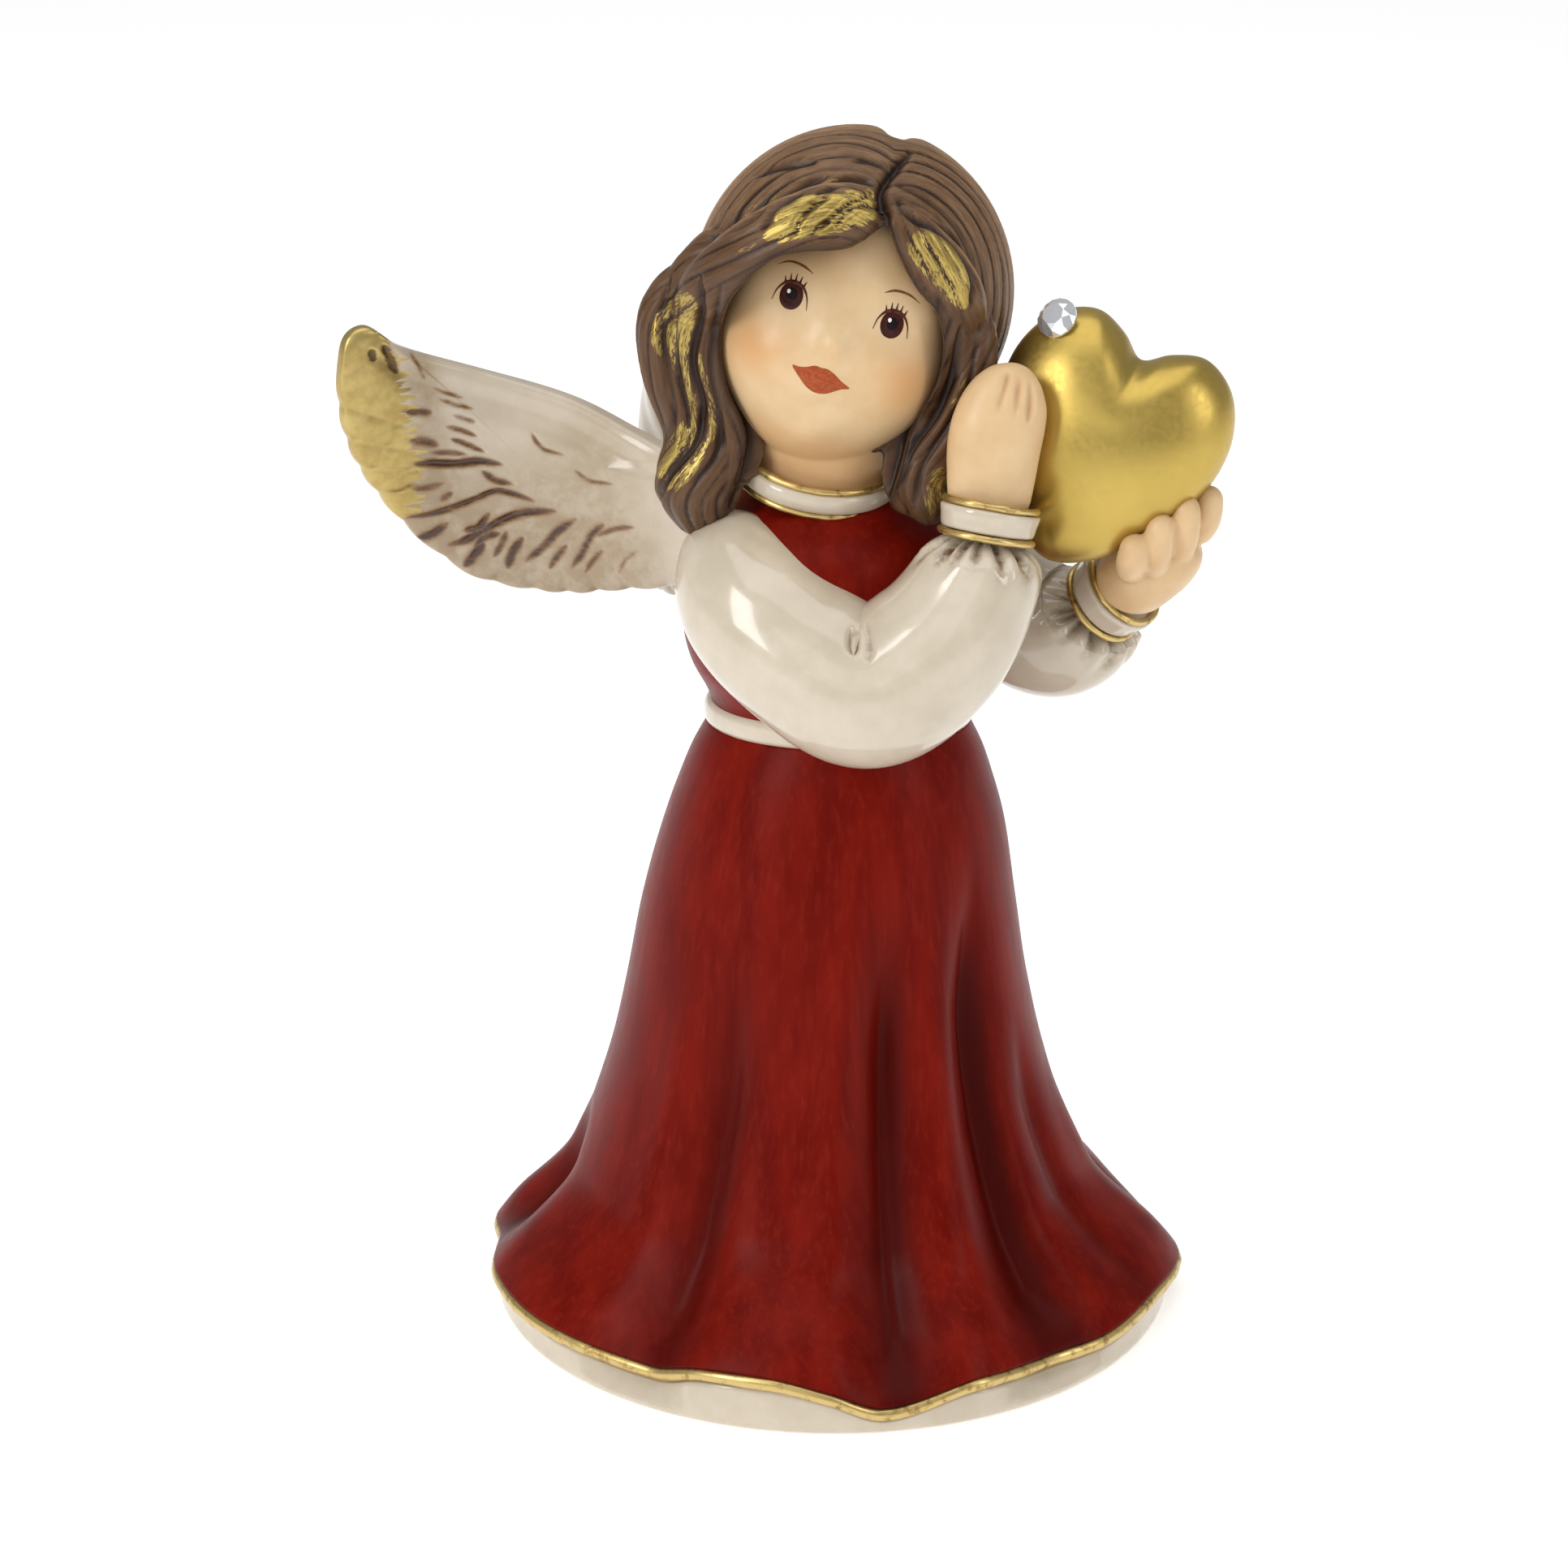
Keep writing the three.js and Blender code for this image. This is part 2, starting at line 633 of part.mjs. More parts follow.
// Each casting: its shapes, its finish, the neighbours that it is seated against, and what is cut away from it.
const CASTINGS = {
  foot: { shapes: [foot()], finish: "ivory_glaze", seats: [] },
  hem_gilt_edge: { shapes: [hemBead()], finish: "gilding", seats: [] },
  gown_skirt: { shapes: [gownSkirt()], finish: "red_gown", seats: ["sash"] },
  sash: { shapes: [sash()], finish: "ivory_glaze", seats: [] },
  collar_band: { shapes: [collarBand()], finish: "ivory_glaze", seats: [] },
  collar_gilt_lower: { shapes: [collarBead(-1)], finish: "gilding", seats: [] },
  collar_gilt_upper: { shapes: [collarBead(1)], finish: "gilding", seats: [] },
  head: {
    shapes: [face(), nose(), neck()],
    finish: "skin",
    seats: ["collar_band", "collar_gilt_lower", "collar_gilt_upper"],
  },
  gown_bodice: {
    shapes: [bodice()],
    finish: "red_gown",
    seats: ["sash", "collar_band", "collar_gilt_lower", "collar_gilt_upper", "head"],
  },
  heart: { shapes: [heart()], finish: "satin_gold", seats: ["crystal"] },
  crystal: { shapes: [crystal()], finish: "crystal", seats: [] },
  hair_crown: {
    shapes: [hairCap(), hairFall()],
    cut: [faceWindow()],
    finish: "brown_hair",
    seats: ["head", "gown_bodice", "collar_band", "collar_gilt_lower", "collar_gilt_upper"],
  },
};
for (const side of ["right", "left"]) {
  CASTINGS[`cuff_gilt_lower_${side}`] = { shapes: [cuffBead(side, 0)], finish: "gilding", seats: [] };
  CASTINGS[`cuff_gilt_upper_${side}`] = { shapes: [cuffBead(side, 1)], finish: "gilding", seats: ["heart"] };
  CASTINGS[`cuff_${side}`] = {
    shapes: [cuff(side)],
    finish: "ivory_glaze",
    seats: ["heart"],
  };
  CASTINGS[`sleeve_${side}`] = {
    shapes: [sleeve(side)],
    finish: "ivory_glaze",
    seats: [`cuff_${side}`, `cuff_gilt_lower_${side}`, "gown_bodice", "gown_skirt", "sash", "heart"],
  };
  CASTINGS[`hand_${side}`] = {
    shapes: side === "right" ? rightHand() : leftHand(),
    finish: "skin",
    seats: [`cuff_${side}`, `cuff_gilt_upper_${side}`, "heart"],
  };
  CASTINGS[`wing_${side}`] = {
    shapes: [wing(side)],
    finish: "ivory_glaze",
    seats: ["gown_bodice", "hair_crown", "sleeve_right", "sleeve_left"],
  };
}
CASTINGS.wing_left.seats.push("wing_right");
CASTINGS.sleeve_left.seats.push("sleeve_right", "cuff_right");
CASTINGS.hand_left.seats.push("sleeve_right");
CASTINGS.hair_crown.seats.push("sleeve_right", "sleeve_left");
const BEHIND_LOCKS = ["head", "hair_crown", "gown_bodice"];
const COLLAR = ["collar_band", "collar_gilt_lower", "collar_gilt_upper"];
const RIGHT_ARM = ["sleeve_right", "hand_right", "cuff_right", "cuff_gilt_lower_right", "cuff_gilt_upper_right"];
for (const name of Object.keys(LOCKS)) {
  const seats = [...BEHIND_LOCKS, ...COLLAR, ...RIGHT_ARM];
  CASTINGS[name] = { shapes: [lock(name)], finish: "brown_hair", seats };
}
CASTINGS.hair_lock_right.seats.push("hair_fringe_right", "wing_right");
CASTINGS.hair_lock_left.seats.push("hair_fringe_left", "heart");
CASTINGS.hair_fringe_left.seats.push("hair_fringe_right");

// The casting with room cut for each neighbour that it seats against, less any crumb that the cuts leave.
function seated({ shapes, cut = [], seats }) {
  let body = joined(shapes.map(solid));
  const cutters = cut.map(solid);
  for (const name of seats) {
    const neighbour = CASTINGS[name];
    let room = joined(neighbour.shapes.map((shape) => solid(swollen(shape, GAP * 1.2))));
    for (const window of neighbour.cut ?? []) room = room.subtract(solid(swollen(window, -GAP * 1.2)));
    cutters.push(room);
  }
  if (cutters.length) body = body.subtract(joined(cutters));
  const pieces = body.decompose().sort((a, b) => b.volume() - a.volume());
  return pieces[0].simplify(0.02);
}

function meshOf(name, casting) {
  const { numProp, vertProperties, triVerts } = seated(casting).getMesh();
  const positions = new Float32Array((vertProperties.length / numProp) * 3);
  for (let i = 0; i < positions.length / 3; i++) {
    positions.set(vertProperties.subarray(i * numProp, i * numProp + 3), i * 3);
  }
  const geometry = new THREE.BufferGeometry();
  geometry.setAttribute("position", new THREE.BufferAttribute(positions, 3));
  geometry.setIndex(new THREE.BufferAttribute(new Uint32Array(triVerts), 1));
  geometry.computeVertexNormals();
  const mesh = new THREE.Mesh(geometry, FINISH[casting.finish]);
  mesh.name = name;
  return mesh;
}

const figurine = new THREE.Group();
for (const [name, casting] of Object.entries(CASTINGS)) figurine.add(meshOf(name, casting));
export default figurine;
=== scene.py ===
"""Looks of the angel figurine: glazed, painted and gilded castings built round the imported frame."""

import math

import bpy
import numpy as np
from mathutils import Euler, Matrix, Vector
from mathutils.bvhtree import BVHTree


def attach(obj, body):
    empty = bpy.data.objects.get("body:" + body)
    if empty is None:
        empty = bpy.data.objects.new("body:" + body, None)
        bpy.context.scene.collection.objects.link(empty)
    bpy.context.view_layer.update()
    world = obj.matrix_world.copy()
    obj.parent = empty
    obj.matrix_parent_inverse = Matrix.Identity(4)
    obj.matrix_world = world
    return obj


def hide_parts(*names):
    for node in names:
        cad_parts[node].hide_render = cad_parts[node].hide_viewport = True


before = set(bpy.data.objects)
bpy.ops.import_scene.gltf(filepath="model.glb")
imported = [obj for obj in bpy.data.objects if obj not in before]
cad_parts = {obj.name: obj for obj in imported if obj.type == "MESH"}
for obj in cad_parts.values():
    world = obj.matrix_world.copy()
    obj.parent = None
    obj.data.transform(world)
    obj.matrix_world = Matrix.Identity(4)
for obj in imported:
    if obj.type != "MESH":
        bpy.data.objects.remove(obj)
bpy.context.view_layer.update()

# ---- Driving dimensions, in millimetres, as in the CAD model ----
MM = 0.001
GAP = 0.3
FOOT_RADIUS = 39.6
WAIST_Z = 72.6
SKIRT_TOP_Z = WAIST_Z - 1.2
WAIST_X = 0.5
WAIST_RISE = 0.12
WAIST_RADIUS = 14.0
BODY_TURN = math.radians(45)
HEAD_CENTRE = np.array((-0.2, -1.0, 117.2))
HAIR_CENTRE = np.array((1.9, 2.6, 121.0))
COLLAR_CENTRE = np.array((-1.9, -1.2, 101.8))
COLLAR_RADIUS = 8.5
COLLAR_TILT = (0.17, 0.15, 0.0)
HEART_CENTRE = np.array((30.3, -5.5, 107.8))
HEART_TILT = (-0.2, 0.43, -0.12)
HEART_HALF_DEPTH = 8.0
WING_HALF_THICKNESS = 2.3
LEFT_WING_DROP = 3.0


def three_turn(x, y, z):
    """The rotation that turns about its own X, then Y, then Z, as the CAD model's angles do."""
    about_x = np.array(Euler((x, 0, 0)).to_matrix())
    about_y = np.array(Euler((0, y, 0)).to_matrix())
    about_z = np.array(Euler((0, 0, z)).to_matrix())
    return about_x @ about_y @ about_z


HEAD_TURN = three_turn(math.radians(-14), math.radians(16), 0)


# ---- Numbers ----

def smooth(low, high, x):
    t = np.clip((np.asarray(x, float) - low) / (high - low), 0, 1)
    return t * t * (3 - 2 * t)


def mix(a, b, t):
    return a + (b - a) * t


def bump(x, centre, half):
    """A bell round centre."""
    return np.exp(-(((np.asarray(x, float) - centre) / half) ** 2))


def value_noise(points, cell, seed=0):
    """Smooth noise from 0 to 1 at each point, with cells of the given size."""
    q = np.asarray(points, float) / cell
    base = np.floor(q).astype(np.int64)
    f = q - base
    f = f * f * (3 - 2 * f)
    total = np.zeros(len(q))
    for dx in (0, 1):
        for dy in (0, 1):
            for dz in (0, 1):
                h = (base[:, 0] + dx) * 73856093 ^ (base[:, 1] + dy) * 19349663
                h = h ^ (base[:, 2] + dz) * 83492791 ^ (seed * 40503 + 977)
                h = ((h ^ (h >> 13)) * 1274126177) & 0x7FFFFFFF
                h = ((h ^ (h >> 15)) * 668265263) & 0x7FFFFFFF
                weight = (f[:, 0] if dx else 1 - f[:, 0])
                weight = weight * (f[:, 1] if dy else 1 - f[:, 1])
                weight = weight * (f[:, 2] if dz else 1 - f[:, 2])
                total += weight * (h / 0x7FFFFFFF)
    return total


def curve_through(xs, ys, x):
    """A smooth curve through the points, without overshoot between them."""
    xs, ys, x = (np.asarray(v, float) for v in (xs, ys, x))
    slopes = np.diff(ys) / np.diff(xs)
    m = np.concatenate(([slopes[0]], (slopes[1:] + slopes[:-1]) / 2, [slopes[-1]]))
    flat = np.concatenate(([False], slopes[1:] * slopes[:-1] <= 0, [False]))
    m[flat] = 0
    i = np.clip(np.searchsorted(xs, x, side="right") - 1, 0, len(xs) - 2)
    h = xs[i + 1] - xs[i]
    t = np.clip((x - xs[i]) / h, 0, 1)
    t2, t3 = t * t, t * t * t
    return ((2 * t3 - 3 * t2 + 1) * ys[i] + (t3 - 2 * t2 + t) * h * m[i]
            + (-2 * t3 + 3 * t2) * ys[i + 1] + (t3 - t2) * h * m[i + 1])


class Path:
    """A centripetal Catmull-Rom curve through points, like the CAD model's paths."""

    def __init__(self, points, closed=False):
        self.points = np.array(points, float)
        self.closed = closed

    def at(self, t):
        p, n = self.points, len(self.points)
        spans = n if self.closed else n - 1
        u = np.clip(np.asarray(t, float), 0, 1) * spans
        i = np.minimum(np.floor(u).astype(int), spans - 1)
        w = (u - i)[:, None]
        if self.closed:
            p0, p1, p2, p3 = p[(i - 1) % n], p[i % n], p[(i + 1) % n], p[(i + 2) % n]
        else:
            ends = np.vstack((2 * p[0] - p[1], p, 2 * p[-1] - p[-2]))
            p0, p1, p2, p3 = ends[i], ends[i + 1], ends[i + 2], ends[i + 3]
        d0, d1, d2 = (np.sqrt(np.linalg.norm(b - a, axis=1))[:, None] + 1e-9
                      for a, b in ((p0, p1), (p1, p2), (p2, p3)))
        m1 = ((p1 - p0) / d0 - (p2 - p0) / (d0 + d1) + (p2 - p1) / d1) * d1
        m2 = ((p2 - p1) / d1 - (p3 - p1) / (d1 + d2) + (p3 - p2) / d2) * d1
        w2, w3 = w * w, w * w * w
        return ((2 * w3 - 3 * w2 + 1) * p1 + (w3 - 2 * w2 + w) * m1
                + (-2 * w3 + 3 * w2) * p2 + (w3 - w2) * m2)

    def tangent(self, t):
        t = np.asarray(t, float)
        step = 1e-3
        d = self.at(np.minimum(t + step, 1)) - self.at(np.maximum(t - step, 0))
        return d / np.linalg.norm(d, axis=1)[:, None]


def signed_power(v, power):
    return np.sign(v) * np.abs(v) ** power


def turns(count, start=0.0):
    """Angles spread over one whole turn."""
    return np.linspace(start, start + 2 * math.pi, count, endpoint=False)


def about_z(radius, angle, z):
    """Points at a radius from the Z axis, an angle round it and a height."""
    return np.stack(np.broadcast_arrays(radius * np.cos(angle), radius * np.sin(angle), z), -1)


def nearest_on(places, run):
    """Each place's distance from a run of points, and how far along the run that is, from 0 to 1."""
    best, where = np.full(len(places), 1e9), np.zeros(len(places))
    for k, (a, b) in enumerate(zip(run[:-1], run[1:])):
        d = b - a
        t = np.clip(((places - a) @ d) / (d @ d + 1e-12), 0, 1)
        gap = np.linalg.norm(places - a - t[:, None] * d, axis=1)
        nearer = gap < best
        best = np.where(nearer, gap, best)
        where = np.where(nearer, (k + t) / (len(run) - 1), where)
    return best, where


def stroke_reach(places, line, half_width, taper=0.25):
    """How strongly a stroke through points is felt at each place: 1 on it, fading over its half width."""
    size = len(line[0])
    run = Path([(*point, 0, 0)[:3] for point in line]).at(np.linspace(0, 1, 8 * len(line)))[:, :size]
    best, where = nearest_on(places, run)
    thin = np.clip(np.minimum(where, 1 - where) / taper, 0, 1) ** 0.5
    return np.exp(-(best / (half_width * (0.35 + 0.65 * thin))) ** 2) * (0.3 + 0.7 * thin)


def inside(places, outline, soft=0.6):
    """1 inside a closed smooth outline of 2-D points and 0 outside, softened over a distance."""
    count = 8 * len(outline) + 1
    run = Path([(x, z, 0) for x, z in outline], closed=True).at(np.linspace(0, 1, count))[:, :2]
    nearest, _ = nearest_on(places, run)
    crossed = np.zeros(len(places), bool)
    for a, b in zip(run[:-1], run[1:]):
        d = b - a
        between = (a[1] > places[:, 1]) != (b[1] > places[:, 1])
        with np.errstate(divide="ignore", invalid="ignore"):
            cross_x = a[0] + (places[:, 1] - a[1]) * d[0] / d[1]
        crossed ^= between & (places[:, 0] < cross_x)
    return smooth(-soft, soft, np.where(crossed, nearest, -nearest))


# ---- Meshes ----

def unit(v):
    v = np.asarray(v, float)
    return v / (np.linalg.norm(v, axis=-1, keepdims=True) + 1e-12)


def ring_faces(rows, cols, closed):
    """Quads between neighbouring rings, and from the last ring to the first when closed."""
    r, c = np.meshgrid(np.arange(rows if closed else rows - 1), np.arange(cols), indexing="ij")
    s, d = (r + 1) % rows, (c + 1) % cols
    return np.stack((r * cols + c, r * cols + d, s * cols + d, s * cols + c), -1).reshape(-1, 4).tolist()


def rings_to_mesh(rings):
    """Rings of points, each row one ring, closed at both ends by a point: the vertices and the faces."""
    rows, cols = rings.shape[:2]
    points = np.vstack((rings.reshape(-1, 3), rings[0].mean(0), rings[-1].mean(0)))
    first, last, top = rows * cols, rows * cols + 1, (rows - 1) * cols
    faces = ring_faces(rows, cols, False)
    for c in range(cols):
        d = (c + 1) % cols
        faces += [(first, d, c), (last, top + c, top + d)]
    return points, faces


def loop_mesh(rings):
    """Rings of points round a closed loop, such as a bead round a hem."""
    return rings.reshape(-1, 3), ring_faces(*rings.shape[:2], True)


def add_object(name, data):
    ob = bpy.data.objects.new(name, data)
    bpy.context.scene.collection.objects.link(ob)
    return ob


def mesh_object(name, points, faces):
    mesh = bpy.data.meshes.new(name)
    mesh.from_pydata((np.asarray(points) * MM).tolist(), [], faces)
    mesh.update()
    ob = add_object(name, mesh)
    if volume(ob) < 0:
        mesh.flip_normals()
    mesh.shade_smooth()
    return ob


def points_of(ob):
    co = np.empty(len(ob.data.vertices) * 3)
    ob.data.vertices.foreach_get("co", co)
    return co.reshape(-1, 3) / MM


def move_points(ob, points):
    ob.data.vertices.foreach_set("co", (np.asarray(points) * MM).ravel())
    ob.data.update()


def normals_of(ob):
    n = np.empty(len(ob.data.vertices) * 3)
    ob.data.vertex_normals.foreach_get("vector", n)
    return n.reshape(-1, 3)


def volume(ob):
    mesh = ob.data
    mesh.calc_loop_triangles()
    tri = np.empty(len(mesh.loop_triangles) * 3, int)
    mesh.loop_triangles.foreach_get("vertices", tri)
    p = points_of(ob)[tri.reshape(-1, 3)]
    return float(np.einsum("ij,ij->i", p[:, 0], np.cross(p[:, 1], p[:, 2])).sum()) / 6


def neighbour_mean(ob, values, times=1):
    """Each vertex takes the mean of itself and its neighbours, a number of times."""
    edges = np.empty(len(ob.data.edges) * 2, int)
    ob.data.edges.foreach_get("vertices", edges)
    a, b = edges.reshape(-1, 2).T
    values = np.asarray(values, float)
    size = len(values)
    count = np.bincount(np.concatenate((a, b)), minlength=size) + 1.0
    columns = values.reshape(size, -1).T
    for _ in range(times):
        columns = [(v + np.bincount(a, v[b], size) + np.bincount(b, v[a], size)) / count for v in columns]
    return np.stack(columns, -1).reshape(values.shape)


def relax(ob, times):
    move_points(ob, neighbour_mean(ob, points_of(ob), times))


def hollows(ob, reach=3):
    """How deep each vertex lies in a crease, in millimetres, compared with its surroundings."""
    p = points_of(ob)
    wide = neighbour_mean(ob, p, reach)
    return np.einsum("ij,ij->i", wide - p, normals_of(ob))


def paint_value(ob, name, values):
    layer = ob.data.attributes.new(name, "FLOAT", "POINT")
    layer.data.foreach_set("value", np.asarray(values, float))


def apply_modifier(ob):
    """The object's mesh becomes what its modifier makes of it."""
    mesh = bpy.data.meshes.new_from_object(ob.evaluated_get(bpy.context.evaluated_depsgraph_get()))
    old = ob.data
    ob.modifiers.clear()
    ob.data = mesh
    bpy.data.meshes.remove(old)


def fused(name, objects, voxel, relaxing):
    """The objects joined into one skin."""
    bpy.ops.object.select_all(action="DESELECT")
    for ob in objects:
        ob.select_set(True)
    bpy.context.view_layer.objects.active = objects[0]
    bpy.ops.object.join()
    ob = objects[0]
    remesh = ob.modifiers.new("fuse", "REMESH")
    remesh.mode = "VOXEL"
    remesh.voxel_size = voxel * MM
    remesh.use_smooth_shade = True
    apply_modifier(ob)
    ob.name = ob.data.name = name
    ob.data.shade_smooth()
    relax(ob, relaxing)
    return ob


def finish_piece(ob, slot, *nodes, material=None):
    """The piece takes its material, rides on the body and stands for its CAD nodes."""
    ob.data.materials.clear()
    ob.data.materials.append(MATERIALS[material or slot])
    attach(ob, "root")
    if nodes:
        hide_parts(*nodes)
    return ob


# ---- Shapes ----

def limb(name, path, radii, flat=1.0, hint=(0, 0, 1), rows=60, cols=40, round_=0.16):
    """A limb along a path, with round ends over a share of its length; flat narrows it towards the hint."""
    centre = Path(path)
    t = (np.arange(rows) + 0.5) / rows
    width = curve_through(np.linspace(0, 1, len(radii)), radii, t)
    from_end = np.minimum(t, 1 - t)
    cap = np.where(from_end < round_, np.sqrt(np.maximum(0, 1 - (1 - from_end / round_) ** 2)), 1)
    mid, along = centre.at(t), centre.tangent(t)
    across = unit(np.cross(along, np.array(hint, float)))
    towards = np.cross(across, along)
    turn = turns(cols)
    r = (width * cap)[:, None]
    rings = (mid[:, None] + across[:, None] * (r * np.cos(turn))[..., None]
             + towards[:, None] * (r * np.sin(turn) * flat)[..., None])
    return mesh_object(name, *rings_to_mesh(rings))


def globe_rings(rows, cols):
    """Directions over a sphere, in rings round its Y axis."""
    tilt = (np.arange(rows) + 0.5) / rows * math.pi
    turn = turns(cols)
    s, c = np.sin(tilt)[:, None], np.cos(tilt)[:, None] * np.ones((1, cols))
    return np.stack((s * np.cos(turn), -c, s * np.sin(turn)), -1)


def bead_loop(centre, turn, radius, thick, around, unevenness, seed):
    """A round bead along a circle, a little uneven like gold laid on with a brush."""
    a, s = turns(around)[:, None], turns(14)
    wob = value_noise(about_z(radius, a[:, 0], 0), 1.3, seed) - 0.5
    size = (thick * (1 + unevenness * wob))[:, None]
    rings = about_z(radius + size * np.cos(s), a, size * np.sin(s))
    return rings @ np.array(turn).T + centre


# ---- Foot, hem and skirt ----

# The skirt's edge: [angle in degrees, distance from the middle, height].
HEM = [
    (-165, 40.6, 3.9), (-147, 40.3, 3.9), (-123, 38.2, 3.2), (-113, 39.6, 5.2), (-101, 40.5, 5.7),
    (-91, 40.8, 4.3), (-82, 40.4, 2.0), (-66, 40.3, 4.2), (-50, 38.0, 3.0), (-38, 39.6, 3.3),
    (-22, 40.2, 4.0), (-5, 41.0, 3.0), (12, 38.9, 2.4), (32, 38.8, 2.0), (52, 37.8, 1.9),
    (74, 39.2, 2.2), (95, 37.8, 1.9), (115, 39.2, 2.2), (136, 37.4, 1.9), (152, 38.2, 2.0),
    (166, 41.2, 2.0), (178, 39.4, 3.0),
]
HEM_BEAD = 0.75
REBATE = 2 * HEM_BEAD + GAP
HEM_FLARE_HEIGHT = 12.0
FOLD_FADE_HEIGHT = 5.0
DEEPEST_FOLD = 2.6
FOLDS = [
    (-123, -119, 1.7, 9, 52), (-81, -72, 2.5, 8, 60), (-49, -41, 3.2, 9, 60), (-25, -26, 1.1, 8, 40),
    (12, 10, 2.2, 9, 30), (52, 50, 2.6, 10, 52), (95, 95, 2.2, 10, 50), (136, 136, 2.4, 10, 50),
    (178, 178, 2.4, 7, 24),
]
# The skirt without its folds: [height, radius, how far its middle is shifted along X].
SKIRT_OUTLINE = [
    (0, 41.0, 0.0), (7.7, 35.7, 0.0), (14, 31.4, -0.3), (18.3, 29.4, -0.5), (29, 25.6, -0.7),
    (39, 23.3, -0.7), (49.5, 21.5, -0.5), (59.5, 19.4, 0.1), (65, 17.7, 0.3), (68, 16.6, 0.4),
    (SKIRT_TOP_Z, 14.9, WAIST_X),
]


def round_curve(rows, column, angle):
    """A smooth periodic curve through the rows' values at an angle in radians."""
    a = (np.degrees(angle) + 180) % 360 - 180
    xs = [row[0] for row in rows]
    ys = [row[column] for row in rows]
    xs = [xs[-2] - 360, xs[-1] - 360] + xs + [xs[0] + 360, xs[1] + 360]
    ys = [ys[-2], ys[-1]] + ys + [ys[0], ys[1]]
    return curve_through(xs, ys, a)


def skirt_outline(height, column):
    return curve_through([r[0] for r in SKIRT_OUTLINE], [r[column] for r in SKIRT_OUTLINE], height)


def fold_depth(angle, height):
    depth = 0 * angle
    for at_hem, at_top, deep, wide, top in FOLDS:
        rise = np.clip(height / top, 0, 1)
        fade = smooth(0, 0.4, 1 - rise)
        middle = np.radians(mix(at_hem, at_top, rise))
        off = np.arctan2(np.sin(angle - middle), np.cos(angle - middle)) / math.radians(wide)
        valley = 0.7 * np.exp(-off * off) + 0.5 * np.exp(-((2.4 * (off - 0.25)) ** 2))
        ridge = 0.28 * np.exp(-(((off + 1.5) / 0.75) ** 2))
        depth = depth + deep * fade * (valley - ridge)
    return depth


def skirt_point(angle, share):
    bottom = round_curve(HEM, 2, angle) + REBATE - 0.05
    level = mix(bottom, SKIRT_TOP_Z, share)
    above = level - bottom
    flare = (round_curve(HEM, 1, angle) - skirt_outline(bottom, 1)) * (1 - smooth(0, HEM_FLARE_HEIGHT, above))
    unfolded = fold_depth(angle, bottom) * (1 - smooth(0, FOLD_FADE_HEIGHT, above))
    radius = skirt_outline(level, 1) - fold_depth(angle, level) + flare + unfolded
    lean = smooth(0.7, 1, share)
    y = radius * np.sin(angle)
    return np.stack((radius * np.cos(angle) + skirt_outline(level, 2), y, level - y * WAIST_RISE * lean), -1)


def make_skirt():
    cols, rows = 480, 170
    angle = turns(cols, -math.pi)
    share = (np.arange(rows) / (rows - 1)) ** 1.15
    rings = np.array([skirt_point(angle, s) for s in share])
    inner = rings[0] * np.array((0.93, 0.93, 1)) + np.array((0, 0, 0.6))
    rolled = rings[0] * np.array((0.985, 0.985, 1)) - np.array((0, 0, 0.15))
    ob = mesh_object("skirt", *rings_to_mesh(np.vstack((inner[None], rolled[None], rings))))
    p = points_of(ob)
    # Painted shade: the skirt is painted darker in its fold valleys.
    depth = fold_depth(np.arctan2(p[:, 1], p[:, 0]), p[:, 2])
    paint_value(ob, "hollow_shade", np.clip(depth / DEEPEST_FOLD, 0, 1))
    finish_piece(ob, "red_gown", "gown_skirt")


def make_foot():
    a = turns(360, -math.pi)
    hem_r, hem_h = round_curve(HEM, 1, a), round_curve(HEM, 2, a)
    edge = np.minimum(FOOT_RADIUS, hem_r - 0.5)
    rounding = ((1.1, 0.0), (0.55, 0.08), (0.2, 0.3), (0.03, 0.65), (0.0, 1.0))
    side = [(FOOT_RADIUS - drop, rise) for drop, rise in rounding]
    for step in np.linspace(0.15, 1, 8):
        side.append((mix(FOOT_RADIUS, edge, step), mix(1.0, hem_h - GAP - 0.25, step)))
    side.append((edge - 0.25, hem_h - GAP))
    side.append((hem_r - 2.6, hem_h - GAP))
    side.append((hem_r - 2.9, hem_h + REBATE - 2 * GAP))
    rings = np.array([about_z(r, a, z) for r, z in side])
    finish_piece(mesh_object("foot", *rings_to_mesh(rings)), "ivory_glaze", "foot")


def make_hem_bead():
    a, s = turns(720, -math.pi)[:, None], turns(16)
    radius, height = round_curve(HEM, 1, a[:, 0]) - 0.5, round_curve(HEM, 2, a[:, 0]) + HEM_BEAD
    ridge = value_noise(about_z(FOOT_RADIUS, a[:, 0], 0), 2.4, 5) - 0.5
    size = (HEM_BEAD * (1.08 + 0.2 * ridge))[:, None]
    rings = about_z(radius[:, None] + size * np.cos(s), a, height[:, None] + size * np.sin(s))
    finish_piece(mesh_object("hem_gilt_edge", *loop_mesh(rings)), "gilding", "hem_gilt_edge")


# ---- Bodice, sash and collar ----

# The bodice: [height, half width, half depth].
BODICE_ROWS = [
    (WAIST_Z + GAP, 14.6, 14.0), (75, 15.2, 14.1), (80, 17.6, 15.2), (86, 18.6, 15.6), (91, 18.4, 15.0),
    (95, 16.4, 13.2), (98.0, 12.0, 9.7), (99.4, 8.4, 7.7),
]


